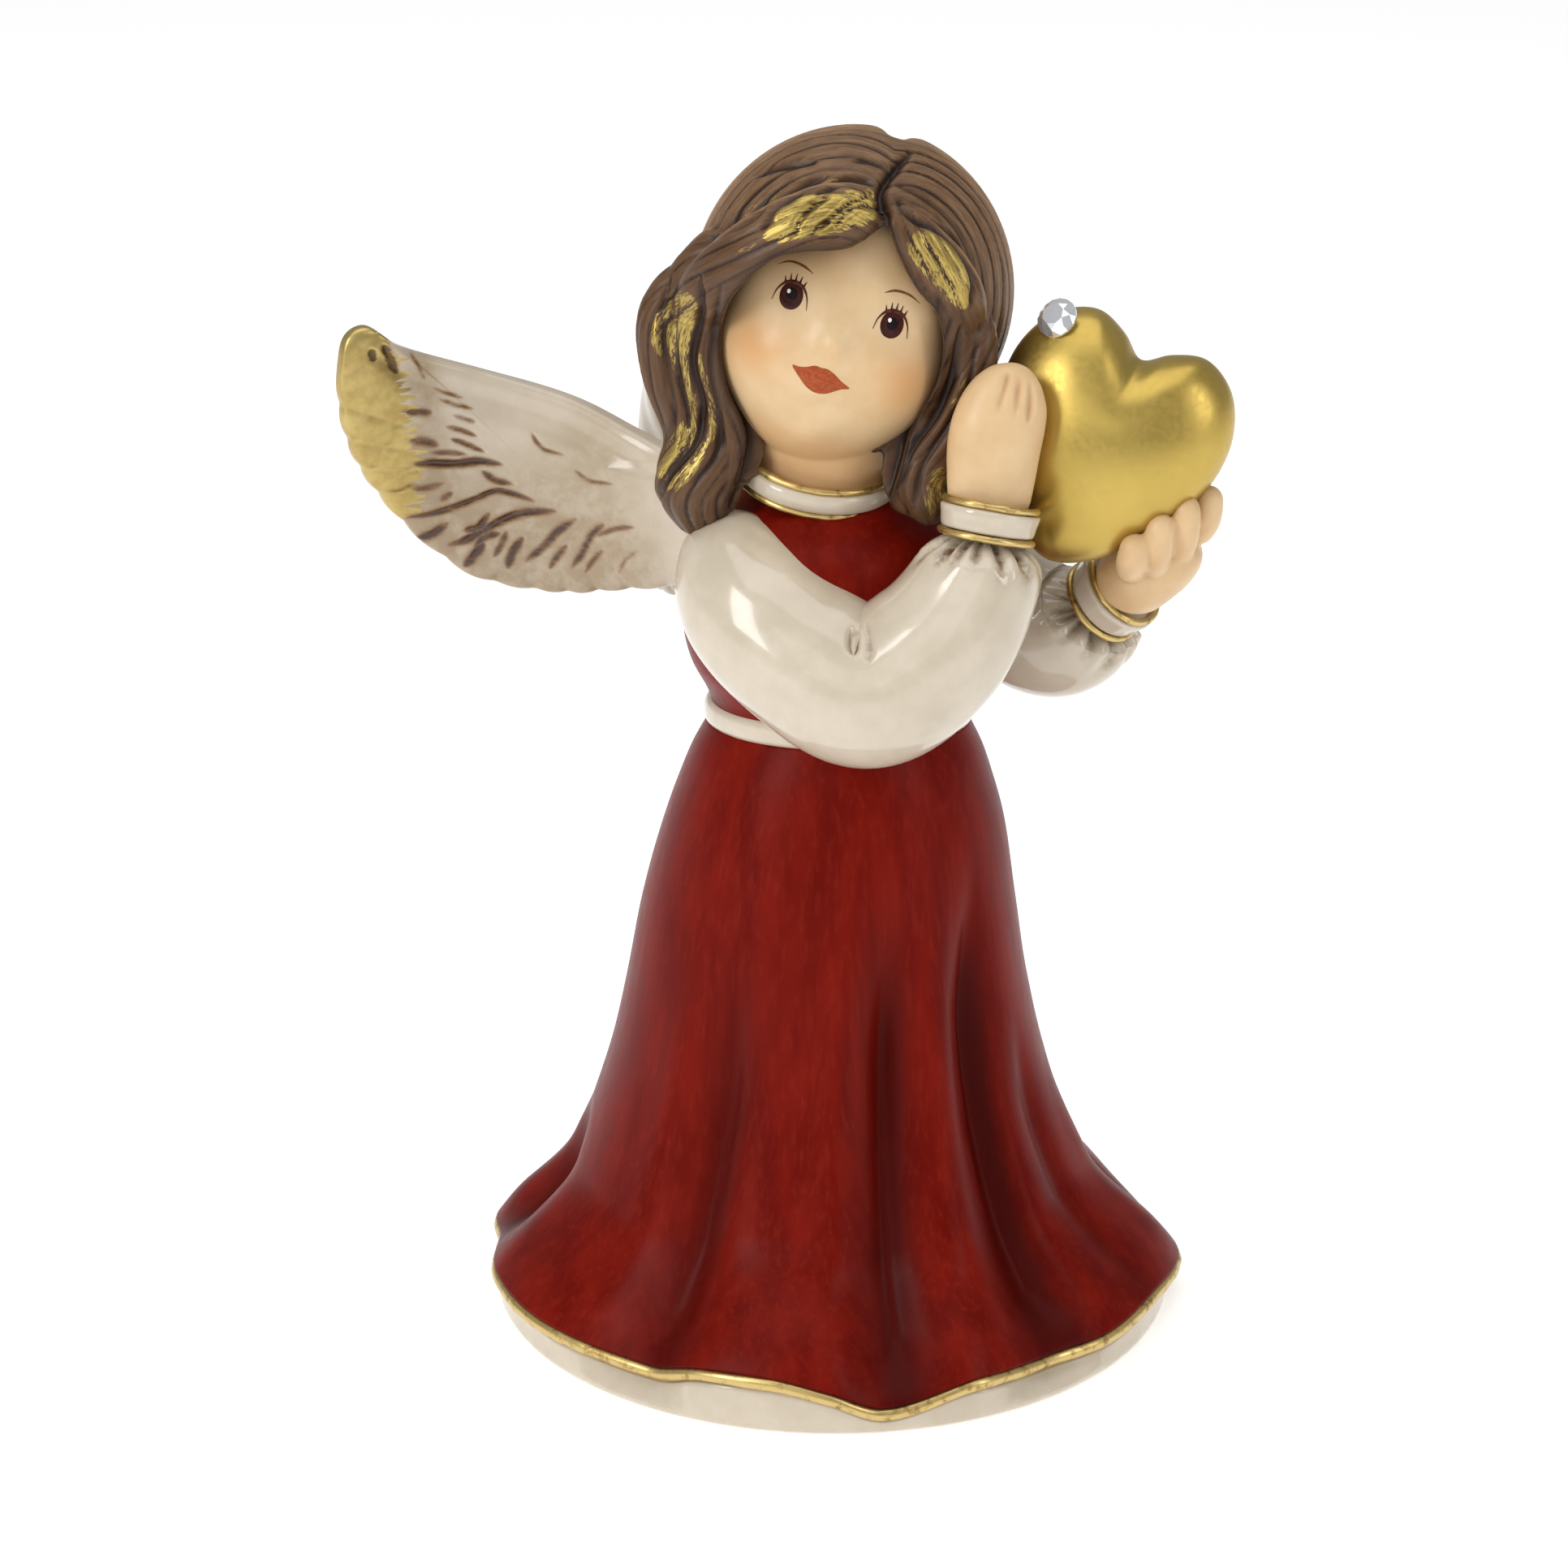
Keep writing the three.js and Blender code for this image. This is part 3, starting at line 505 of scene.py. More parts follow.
def make_bodice():
    z = np.linspace(BODICE_ROWS[0][0], BODICE_ROWS[-1][0], 90)
    heights, half_widths, half_depths = zip(*BODICE_ROWS)
    wide, deep = curve_through(heights, half_widths, z), curve_through(heights, half_depths, z)
    a = turns(240)
    x, y = wide[:, None] * np.cos(a), deep[:, None] * np.sin(a)
    lean = (1 - smooth(WAIST_Z, 84, z))[:, None]
    px = x * math.cos(BODY_TURN) - y * math.sin(BODY_TURN)
    py = x * math.sin(BODY_TURN) + y * math.cos(BODY_TURN)
    rings = np.stack((px + WAIST_X * lean, py, z[:, None] - py * WAIST_RISE * lean), -1)
    ob = mesh_object("bodice", *rings_to_mesh(rings))
    # Painted shade: the bodice is painted darker at its lower edge, next to the sash.
    paint_value(ob, "hollow_shade", 0.5 * bump(points_of(ob)[:, 2], WAIST_Z, 3))
    finish_piece(ob, "red_gown", "gown_bodice")


def make_sash():
    a, s = turns(360)[:, None], turns(28)
    thick, half_height = 1.35, 1.6
    c, n = signed_power(np.cos(s), 0.75), signed_power(np.sin(s), 0.75)
    ripple = 0.12 * (value_noise(about_z(WAIST_RADIUS, a[:, 0], 0), 5, 3) - 0.5)
    out = WAIST_RADIUS + (thick + ripple[:, None]) * c
    x, y = out * np.cos(a) + WAIST_X, out * np.sin(a)
    z = WAIST_Z + half_height * n - y * WAIST_RISE
    ob = mesh_object("sash", *loop_mesh(np.stack((x, y, z), -1)))
    p = points_of(ob)
    # The sash is painted browner along its lower edge, where it meets the skirt.
    above_edge = np.abs(p[:, 2] + p[:, 1] * WAIST_RISE - WAIST_Z + half_height)
    paint_value(ob, "stain", 0.4 * np.clip(0.8 - 1.3 * above_edge, 0, 1))
    finish_piece(ob, "ivory_glaze", "sash")


def make_collar():
    turn = three_turn(*COLLAR_TILT)
    axis = turn @ np.array((0, 0, 1.0))
    half, bead = 1.15, 0.36
    a, s = turns(240)[:, None], turns(24)
    out = COLLAR_RADIUS + 0.9 * signed_power(np.cos(s), 0.8)
    rings = about_z(out, a, half * signed_power(np.sin(s), 0.6))
    ob = mesh_object("collar_band", *loop_mesh(rings @ turn.T + COLLAR_CENTRE))
    finish_piece(ob, "ivory_glaze", "collar_band")
    for side, node, seed, spread in ((-1, "collar_gilt_lower", 3, 0.35), (1, "collar_gilt_upper", 4, 0.1)):
        middle = COLLAR_CENTRE + axis * side * (half + bead - 0.05)
        rings = bead_loop(middle, turn, COLLAR_RADIUS + spread, bead * 1.15, 240, 0.35, seed)
        finish_piece(mesh_object(node, *loop_mesh(rings)), "gilding", node)


# ---- Head ----

def on_head(p):
    return np.asarray(p, float) @ HEAD_TURN.T + HEAD_CENTRE


# Each swelling of the face: its direction from the head's middle, how far it reaches in radians, its height.
FACE_SWELLINGS = [
    ((0, -1, -0.035), 0.13, 1.15),      # tip of the nose
    ((0, -1, 0.12), 0.16, 0.4),         # bridge
    ((0.12, -0.6, 0.8), 0.33, 2.9),     # forehead up to the parting
    ((0.64, -0.64, 0.42), 0.24, 1.2),   # temples
    ((-0.68, -0.6, 0.36), 0.24, 1.1),
    ((0.46, -0.9, 0.26), 0.2, -0.45),   # eye sockets
    ((-0.46, -0.9, 0.26), 0.2, -0.45),
    ((0.46, -0.9, 0.5), 0.22, 0.25),    # brows
    ((-0.46, -0.9, 0.5), 0.22, 0.25),
    ((0.56, -0.8, -0.3), 0.36, 0.75),   # cheeks
    ((-0.56, -0.8, -0.3), 0.36, 0.75),
    ((0, -1, -0.37), 0.2, 0.3),         # mouth's mound
    ((0, -1, -0.33), 0.085, 0.28),      # upper lip
    ((0, -1, -0.44), 0.085, 0.38),      # lower lip
    ((0, -1, -0.385), 0.05, -0.3),      # line between the lips
    ((0.1, -1, -0.375), 0.045, -0.25),
    ((-0.1, -1, -0.375), 0.045, -0.25),
    ((0, -1, -0.57), 0.11, -0.4),       # dip under the lip
    ((0, -0.85, -0.8), 0.22, 0.8),      # chin
]


def make_head():
    rows, cols = 260, 300
    flat = globe_rings(rows, cols).reshape(-1, 3)
    low = smooth(0.1, 1, -flat[:, 2])
    cheek = 1 + 0.05 * bump(flat[:, 2], -0.35, 0.35)
    base = np.stack((13.2 * flat[:, 0] * cheek * (1 - 0.1 * low),
                     12.8 * flat[:, 1] * (1 - 0.06 * low), 14.6 * flat[:, 2]), -1)
    lift = np.zeros(len(flat))
    for direction, reach, height in FACE_SWELLINGS:
        away = np.arccos(np.clip(flat @ unit(direction), -1, 1))
        lift += height * np.exp(-((away / reach) ** 2))
    base += flat * lift[:, None]
    face = mesh_object("face", *rings_to_mesh(on_head(base).reshape(rows, cols, 3)))
    neck = limb("neck", [on_head((0, 2, -4)), (-1.4, 0.2, 104), (-1.8, -0.6, 99)], [9.9, 8.4, 7.6],
                hint=(0, 1, 0), rows=60, cols=80, round_=0.1)
    ob = fused("head", [face, neck], 0.22, 3)
    p = (points_of(ob) - HEAD_CENTRE) @ HEAD_TURN
    blush_and_shade = bump(p[:, 0], -8.6, 3.6) * bump(p[:, 2], -3.2, 3.2)
    blush_and_shade += bump(p[:, 0], 8.8, 3.6) * bump(p[:, 2], -2.6, 3.2)
    # The cheeks and the tip of the nose are blushed; under the chin the same colour is painted shade.
    under = smooth(-9, -13, p[:, 2]) * 0.6
    nose_tip = 0.25 * bump(p[:, 0], 0, 1.6) * bump(p[:, 2], -1.2, 1.0)
    paint_value(ob, "blush_and_shade", np.clip(blush_and_shade * (p[:, 1] < 0) + under + nose_tip, 0, 1))
    # Painted shade: the face is painted darker in its hollows.
    paint_value(ob, "crease_shade", np.clip(hollows(ob, 6) * 4, 0, 0.6))
    finish_piece(ob, "skin", "head")
    paint_face(ob)


# The lips' outline, and the strokes of the brows and between the lips: points, widths, lift and paint.
LIPS = [
    (-3.7, -3.75), (-2.9, -3.72), (-2.1, -3.5), (-1.3, -3.12), (-0.6, -3.15), (0.1, -3.12), (0.9, -3.4),
    (1.9, -4.0), (3.0, -4.55), (2.2, -4.85), (1.5, -5.3), (0.6, -5.82), (-0.5, -6.0), (-1.5, -5.7),
    (-2.5, -4.95),
]
FACE_STROKES = [
    ("brow_right", [(-8.2, 6.2), (-7.0, 6.85), (-5.5, 6.8), (-4.2, 6.3)],
     [0.05, 0.22, 0.3, 0.05], 0.05, "brow"),
    ("brow_left", [(3.8, 6.5), (4.9, 7.0), (6.5, 6.95), (7.9, 6.35)],
     [0.05, 0.3, 0.24, 0.05], 0.05, "brow"),
    ("lip_line", [(-2.6, -4.1), (-1.4, -4.25), (-0.3, -4.3), (0.9, -4.45), (2.0, -4.55)],
     [0.04, 0.12, 0.15, 0.12, 0.04], 0.085, "lip_line"),
]


# The upper lid about an eye's middle, and its lashes: place along it, length and lean.
LID = [(-1.95, -0.95), (-1.65, 0.35), (-0.95, 1.25), (0, 1.52), (0.95, 1.25), (1.65, 0.35), (2.0, -1.05)]
LASHES = ((-1.0, 0.75, -0.2), (-0.5, 0.95, -0.12), (0.02, 1.0, 0.0), (0.52, 0.95, 0.12), (1.0, 0.75, 0.24))


def paint_face(head):
    skin = BVHTree.FromObject(head, bpy.context.evaluated_depsgraph_get())
    towards = Vector(HEAD_TURN @ np.array((0, 1.0, 0)))

    def on_skin(points, lift):
        """Points of the face's own plane, X across and Z up, laid on the skin and lifted a little."""
        laid = []
        for (x, z), up in zip(points, lift):
            start = Vector(on_head((x, -30, z)) * MM)
            place, normal, _, _ = skin.ray_cast(start, towards)
            laid.append(np.array(place + normal * up * MM) / MM)
        return np.array(laid)

    def film(name, points, faces, material):
        mesh = bpy.data.meshes.new(name)
        mesh.from_pydata((points * MM).tolist(), [], faces)
        ob = add_object(name, mesh)
        normal = np.array([tuple(f.normal) for f in mesh.polygons]).mean(0)
        if normal @ np.array(towards) > 0:
            mesh.flip_normals()
        mesh.shade_smooth()
        finish_piece(ob, "skin", material=material)

    def patch(name, outline, thick, material, rings=7):
        """A film of paint inside an outline."""
        outline = np.array(outline, float)
        middle = outline.mean(0)
        flat, lift = [], []
        for k, share in enumerate(np.linspace(1, 0.08, rings)):
            flat.append(middle + (outline - middle) * share)
            lift.append(np.full(len(outline), thick * (0.15 if k == 0 else 1)))
        rings_3d = on_skin(np.vstack(flat), np.concatenate(lift)).reshape(rings, len(outline), 3)
        n = len(outline)
        points = np.vstack((rings_3d.reshape(-1, 3), rings_3d[-1].mean(0)))
        faces = [(r * n + c, r * n + (c + 1) % n, (r + 1) * n + (c + 1) % n, (r + 1) * n + c)
                 for r in range(rings - 1) for c in range(n)]
        faces += [((rings - 1) * n + c, (rings - 1) * n + (c + 1) % n, rings * n) for c in range(n)]
        film(name, points, faces, material)

    def stroke(name, points, widths, thick, material):
        """A brush stroke through points of the face, with its width at each."""
        line = Path([(x, 0, z) for x, z in points])
        count = 14 * len(points)
        t = np.linspace(0, 1, count)
        mid, along = line.at(t)[:, (0, 2)], line.tangent(t)[:, (0, 2)]
        side = np.stack((-along[:, 1], along[:, 0]), -1)
        half = curve_through(np.linspace(0, 1, len(widths)), widths, t)[:, None] / 2
        lines = [mid + side * half * share for share in (1, 0.6, 0, -0.6, -1)]
        lift = np.repeat((0.1 * thick, 0.8 * thick, thick, 0.8 * thick, 0.1 * thick), count)
        points_3d = on_skin(np.vstack(lines), lift)
        faces = [(r * count + c, r * count + c + 1, (r + 1) * count + c + 1, (r + 1) * count + c)
                 for r in range(4) for c in range(count - 1)]
        film(name, points_3d, faces, material)

    def circle(x, z, half_x, half_z, count=40, power=2.0):
        a = turns(count)
        return np.stack((x + half_x * signed_power(np.cos(a), 2 / power),
                         z + half_z * signed_power(np.sin(a), 2 / power)), -1)

    for name, x, z in (("right", -5.85, 3.35), ("left", 5.55, 3.35)):
        patch(f"iris_{name}", circle(x, z, 1.28, 1.5, power=2.1), 0.04, "iris")
        patch(f"pupil_{name}", circle(x, z + 0.15, 0.7, 0.8), 0.06, "pupil")
        patch(f"glint_{name}", circle(x - 0.38, z + 0.42, 0.22, 0.27, 18), 0.09, "glint")
        lid = [(x + across, z + up) for across, up in LID]
        stroke(f"lid_{name}", lid, [0.06, 0.17, 0.34, 0.5, 0.34, 0.17, 0.06], 0.07, "lash")
        for k, (dx, rise, lean) in enumerate(LASHES):
            root = z + 1.45 - 0.28 * dx * dx
            points = [(x + dx, root), (x + dx + lean * 0.4, root + rise * 0.5), (x + dx + lean, root + rise)]
            stroke(f"lash_{name}_{k}", points, [0.3, 0.19, 0.05], 0.065, "lash")
    for name, points, widths, thick, paint in FACE_STROKES[:2]:
        stroke(name, points, widths, thick, paint)
    rounded = Path([(x, 0, z) for x, z in LIPS], closed=True).at(np.linspace(0, 1, 61)[:-1])[:, (0, 2)]
    patch("lips", rounded, 0.07, "lips")
    stroke(*FACE_STROKES[2])


# ---- Hair ----

# The edge of the hair round the face, as [across, up] in the head's own frame.
HAIRLINE = [
    (2.0, 13.6), (0.9, 12.0), (-1.1, 10.2), (-3.3, 9.3), (-6.2, 8.4), (-8.5, 7.2), (-10.2, 5.1),
    (-11.5, 2.7), (-12.2, 0.2), (-11.9, -3.3), (-10.9, -6.2), (-9.4, -9.0), (-7.6, -11.1), (-6.2, -13.4),
    (-5.8, -17), (-5.5, -24), (9.5, -26), (10.9, -16), (11.0, -11.4), (10.9, -7.6), (11.5, -4.6),
    (12.1, -1.6), (12.0, 1.2), (11.2, 3.7), (9.5, 6.2), (7.3, 7.6), (4.9, 9.8), (3.2, 11.9),
]
LOCKS = {
    "fringe_right": ([(5.0, -9.8, 134.2), (-1, -12.0, 133.6), (-7.6, -11.8, 130.2), (-13.2, -8.8, 125),
                      (-16, -4.4, 119)], [2.6, 4.0, 4.2, 3.8, 2.8], 0.78, (0, -1, 0.4)),
    "fringe_left": ([(4.6, -10.4, 134.4), (9.2, -11.2, 130.6), (12.8, -9.6, 125.4), (14.8, -7.4, 119.6)],
                    [1.8, 2.9, 3.1, 2.4], 0.75, (0.3, -1, 0.3)),
    "lock_right": ([(-13.8, -1.0, 126), (-17.9, -2.4, 120.4), (-17.6, -4, 114), (-14.8, -5.6, 107.5),
                    (-15.2, -6.6, 101.5), (-16, -7, 95.4)], [2.2, 3.8, 4.0, 4.4, 5.0, 1.8], 0.85,
                    (0, -1, 0)),
    "lock_inner": ([(-14.4, -5.5, 125), (-14.6, -6.2, 118.5), (-13.4, -6.2, 112.5), (-11.0, -6.6, 106.5),
                    (-11.0, -8.2, 101.5)], [3.0, 3.6, 3.6, 3.3, 2.2], 0.8, (0, -1, 0)),
    "temple": ([(-11.2, -2.0, 128.2), (-14.9, -2.4, 123.8), (-17.0, -2.8, 118.6)], [3.2, 3.7, 3.4], 0.9,
               (0, -1, 0)),
    "lock_left": ([(15.4, -6.2, 122), (14.8, -7.6, 115.6), (12.4, -7.8, 109), (9.8, -8.4, 103.4),
                   (10.6, -10.2, 97.6)], [2.2, 3.1, 3.5, 3.9, 1.6], 0.85, (0, -1, 0)),
    "lock_neck": ([(12.6, -5.4, 112), (9.6, -6.2, 107.4), (7.6, -7.4, 103.2), (8.0, -9.6, 98.8)],
                  [2.2, 2.8, 2.7, 1.4], 0.8, (0, -1, 0)),
}
# Cuts in the front hair, in the head's own frame: the line, its half width and its depth.
HAIR_CUTS = [
    ([(-13.3, 14.4), (-11.6, 15.9), (-9.7, 17.0), (-7.2, 18.0)], 0.34, 0.8),
    ([(-10.0, 12.6), (-9.0, 13.8), (-7.7, 15.4), (-5.6, 16.9)], 0.36, 0.9),
    ([(-6.4, 15.0), (-5.1, 16.1), (-3.5, 17.2), (-1.6, 17.6), (-0.2, 17.3)], 0.34, 0.9),
    ([(-3.6, 19.3), (-1.5, 19.7), (1.2, 19.6)], 0.26, 0.7),
    ([(-7.6, 9.9), (-7.3, 12.2), (-6.3, 13.8), (-4.9, 15.1)], 0.34, 0.8),
    ([(-5.7, 10.6), (-4.7, 12.1), (-3.5, 13.8), (-2.2, 15.4), (-0.4, 16.5)], 0.34, 0.9),
    ([(-3.3, 12.0), (-2.6, 14.0), (-1.0, 15.2), (0.9, 15.2)], 0.32, 0.8),
    ([(-11.0, 9.4), (-10.4, 11.9), (-9.2, 13.8)], 0.28, 0.5),
    ([(-14.6, 8.0), (-12.4, 10.2), (-11.2, 12.6)], 0.3, 0.45),
    ([(-17.6, 5.4), (-15.0, 7.6), (-13.4, 10.6)], 0.3, 0.45),
    ([(2.6, 21.9), (1.6, 20.3), (0.8, 18.6), (0.4, 16.8), (1.4, 14.8), (2.0, 13.2)], 0.5, 1.25),
    ([(2.2, 16.6), (4.4, 15.2), (7.6, 14.9), (10.6, 13.2), (12.9, 10.4), (13.4, 7.4)], 0.36, 0.9),
    ([(1.6, 18.2), (5.0, 17.6), (9.0, 15.8), (12.0, 12.8), (14.2, 8.8)], 0.28, 0.6),
    ([(3.6, 14.0), (6.0, 11.6), (8.6, 9.4), (11.6, 7.2)], 0.28, 0.4),
    ([(5.2, 13.8), (8.0, 11.8), (10.4, 9.6), (12.2, 7.9)], 0.22, 0.35),
    ([(-19.2, 1.4), (-18.8, -3.2), (-16.6, -8.4), (-14.6, -13.4), (-15.2, -18.6)], 0.36, 0.5),
    ([(-16.2, 2.8), (-14.6, -2.0), (-14.2, -7.0), (-11.8, -11.4), (-11.4, -15.2), (-13.4, -19.8),
      (-13.9, -23.5)], 0.5, 1.0),
    ([(-13.6, 2.4), (-12.9, -2.6), (-12.0, -7.2), (-9.8, -11.6), (-8.8, -15.8), (-10.6, -19.6)], 0.4, 0.7),
    ([(-17.9, 0.2), (-17.0, -4.6), (-15.4, -8.6), (-13.2, -12.6), (-12.9, -17.0)], 0.3, 0.4),
    ([(12.9, 5.2), (13.6, 0.6), (13.2, -4.4), (11.6, -9.0), (11.2, -14.2)], 0.4, 0.9),
    ([(15.0, 4.2), (15.6, -1.0), (14.6, -6.0), (13.2, -11.2), (13.6, -16.0)], 0.36, 0.7),
]
# Where gold is brushed over the front hair: an outline and its strength.
HAIR_GOLD = [
    ([(-10.7, 8.9), (-10.2, 10.4), (-9.7, 12.4), (-8.4, 13.8), (-6.5, 14.9), (-4.6, 15.3), (-3.0, 16.2),
      (-1.2, 16.7), (0.6, 16.4), (1.0, 15.0), (0.1, 13.5), (-1.8, 12.4), (-3.4, 11.4), (-5.6, 10.5),
      (-7.8, 9.3), (-9.4, 8.5)], 1.0),
    ([(-6.4, 15.6), (-5.0, 17.0), (-3.0, 17.9), (-1.0, 17.9), (-2.6, 17.0), (-4.6, 16.2)], 0.72),
    ([(-14.2, 8.4), (-13.0, 11.6), (-10.6, 14.0), (-8.6, 14.9), (-9.4, 13.2), (-11.2, 10.8),
      (-12.4, 8.6)], 0.42),
    ([(-13.2, 5.9), (-12.4, 7.4), (-10.8, 8.2), (-11.2, 7.0), (-12.4, 5.8)], 0.5),
    ([(4.5, 12.3), (5.2, 14.0), (7.2, 14.4), (9.2, 13.8), (11.1, 12.4), (12.7, 10.6), (13.1, 8.6),
      (12.7, 7.0), (11.5, 7.1), (9.3, 8.4), (7.0, 9.8), (5.4, 11.0)], 0.85),
    ([(-19.8, -5.0), (-19.5, -1.8), (-17.9, 0.4), (-15.6, 0.2), (-14.9, -2.9), (-15.4, -6.3),
      (-17.6, -7.6)], 0.68),
    ([(-17.2, -6.6), (-14.2, -4.6), (-12.6, -6.6), (-10.7, -9.2), (-8.9, -12.6), (-9.9, -15.2),
      (-12.6, -13.4), (-15.0, -10.1)], 0.55),
    ([(-14.6, -20.4), (-14.5, -15.6), (-12.9, -13.0), (-10.2, -14.5), (-10.4, -18.2),
      (-12.6, -21.6)], 0.72),
    ([(15.0, 0.4), (16.3, -0.2), (15.9, -3.4), (14.2, -4.2)], 0.5),
    ([(14.7, -10.2), (16.4, -10.6), (16.2, -16.2), (14.5, -15.4)], 0.5),
]


def strands(s, width, sharp=2.0):
    """Grooves between strands: 1 in the groove, 0 on the strand."""
    return (1 - np.abs(np.sin(math.pi * s / width))) ** sharp


def hair_grooves(s, along, seed=0):
    """Groove depth from 0 to 1 for a place across and along the strands, both in millimetres."""
    p = np.stack((s * 0.4, along * 0.08, 0 * s), -1)
    drift = 1.1 * (value_noise(p, 1.0, seed) - 0.5)
    strong = value_noise(p * 1.3, 1.0, seed + 1)
    fine = value_noise(p * 2.2, 1.0, seed + 2)
    return (strands(s + drift, 2.3, 1.6) * (0.35 + 0.65 * strong)
            + 0.45 * strands(s * 1.07 + 0.7 * drift + 0.8, 1.15, 1.4) * fine)


def window_cutter():
    """The hairline's outline as a prism from the ears out past the face."""
    outline = Path([(x, 0, z) for x, z in HAIRLINE], closed=True).at(np.linspace(0, 1, 161)[:-1])
    near, far = outline.copy(), outline.copy()
    near[:, 1], far[:, 1] = -3.0, -34.0
    return mesh_object("window", *rings_to_mesh(np.stack((on_head(near), on_head(far)))))


def cut_away(ob, cutter):
    cut = ob.modifiers.new("cut", "BOOLEAN")
    cut.operation = "DIFFERENCE"
    cut.object = cutter
    cut.solver = "EXACT"
    apply_modifier(ob)


def limb_place(points, path, radii):
    """For each point, its distance outside a limb, its place along it in mm and its place round it in mm."""
    line = Path(path)
    run = line.at(np.linspace(0, 1, 40))
    length = np.linalg.norm(np.diff(run, axis=0), axis=1).sum()
    nearest, place = nearest_on(points, run)
    middle, along = line.at(place), line.tangent(place)
    radius = curve_through(np.linspace(0, 1, len(radii)), radii, place)
    side = unit(np.cross(along, (0, -1, 0)))
    front = np.cross(side, along)
    off = points - middle
    turn = np.arctan2(np.einsum("ij,ij->i", off, front), np.einsum("ij,ij->i", off, side))
    return nearest - radius, place * length, turn * radius


def make_hair():
    """All the hair as one moulding: the cap, combed sideways from the parting, the fall and the locks."""
    half = np.array((18.0, 17.2, 18.6))
    cap = mesh_object("cap", *rings_to_mesh(globe_rings(60, 80) * half @ HEAD_TURN.T + HAIR_CENTRE))
    fall = limb("fall", [(-1, 8, 122), (-1, 10.5, 111), (-2, 11.5, 101), (-2.4, 11.5, 90.5)],
                [15, 16, 15.2, 11], flat=0.62, hint=(-0.2, 1, 0), rows=50, cols=70, round_=0.22)
    parts = [cap, fall]
    for name, (path, radii, flat, hint) in LOCKS.items():
        parts.append(limb(name, path, radii, flat=flat, hint=hint, rows=50, cols=36, round_=0.12))
    window = window_cutter()
    for part in parts:
        cut_away(part, window)
    bpy.data.objects.remove(window)
    ob = fused("hair", parts, 0.26, 5)

    p, normal = points_of(ob), normals_of(ob)
    q = (p - HEAD_CENTRE) @ HEAD_TURN
    cap_place = (p - HAIR_CENTRE) @ HEAD_TURN
    flat = unit(cap_place / half)
    top = smooth(0.1, 0.5, flat[:, 2])
    near_parting = np.exp(-np.abs(cap_place[:, 0]) / 4.5)
    sideways = np.arccos(np.clip(-flat[:, 1], -1, 1)) * 17.5 + 3.2 * near_parting * top
    over = np.arctan2(flat[:, 2], flat[:, 0]) * 18
    behind = np.maximum(smooth(0.35, 0.75, flat[:, 1]), smooth(114, 108, p[:, 2]))
    wavy = p[:, 0] + 1.3 * np.sin(p[:, 2] / 6.5)
    depth = 0.5 * mix(hair_grooves(sideways, over, 1), hair_grooves(wavy, p[:, 2], 7), behind)
    across = mix(sideways, wavy, behind)
    along = mix(over, p[:, 2], behind)
    best = np.linalg.norm(cap_place / half, axis=1) * 17 - 17
    for name, (path, radii, _, _) in LOCKS.items():
        outside, place_along, place_round = limb_place(p, path, radii)
        twisted = place_round + 0.35 * place_along + 1.0 * np.sin(place_along / 4)
        share = smooth(-0.6, 0.6, best - outside)
        depth = mix(depth, 0.42 * hair_grooves(twisted, place_along, len(name)), share)
        across = np.where(share > 0.5, twisted, across)
        along = np.where(share > 0.5, place_along, along)
        best = np.minimum(best, outside)
    facing = smooth(0.05, 0.35, -(normal @ HEAD_TURN)[:, 1]) * (q[:, 1] < 0)
    cuts = np.zeros(len(p))
    for line, half_width, deep in HAIR_CUTS:
        cuts = np.maximum(cuts, deep * stroke_reach(q[:, (0, 2)], line, half_width))
    cuts *= facing
    crest = 1.2 * np.exp(-(cap_place[:, 0] / 1.5) ** 2) * top * (1 - facing)
    crest *= 1 - 0.8 * smooth(0, 0.8, flat[:, 1])
    gold = np.zeros(len(p))
    for outline, strength in HAIR_GOLD:
        gold = np.maximum(gold, strength * inside(q[:, (0, 2)], outline, 0.7))
    edge = bump(inside(q[:, (0, 2)], HAIRLINE, 1.6), 0.5, 0.35) * (q[:, 1] < -2)
    rim = bump(inside(q[:, (0, 2)], HAIRLINE, 9.0), 0.35, 0.5) * facing
    total = np.maximum(depth * (1 - 0.5 * np.clip(cuts, 0, 1)), 0) + cuts + crest
    move_points(ob, p - normal * (total * (1 - 0.7 * edge))[:, None])
    relax(ob, 1)
    # Painted shade: darkest in the creases, cuts and strand grooves and along the hairline, and the shade
    # value darkens the lower front hair and the rim round the face.
    creases = np.clip(neighbour_mean(ob, hollows(ob, 8), 1) * 7, 0, 1)
    dark = np.maximum(creases, cuts * 1.1) + 0.75 * edge * facing + 0.9 * smooth(0.12, 0.5, depth)
    shade = smooth(8.5, 2, q[:, 2]) * smooth(4, -4, q[:, 1]) + 0.5 * edge + 0.8 * rim
    paint_value(ob, "across", across * MM)
    paint_value(ob, "along", along * MM)
    paint_value(ob, "gold", gold * facing)
    paint_value(ob, "hollow_shade", np.clip(dark, 0, 1))
    paint_value(ob, "shade", np.clip(shade, 0, 1))
    finish_piece(ob, "brown_hair", "hair_crown", "hair_fringe_right", "hair_fringe_left",
                 "hair_lock_right", "hair_lock_left")


# ---- Arms ----

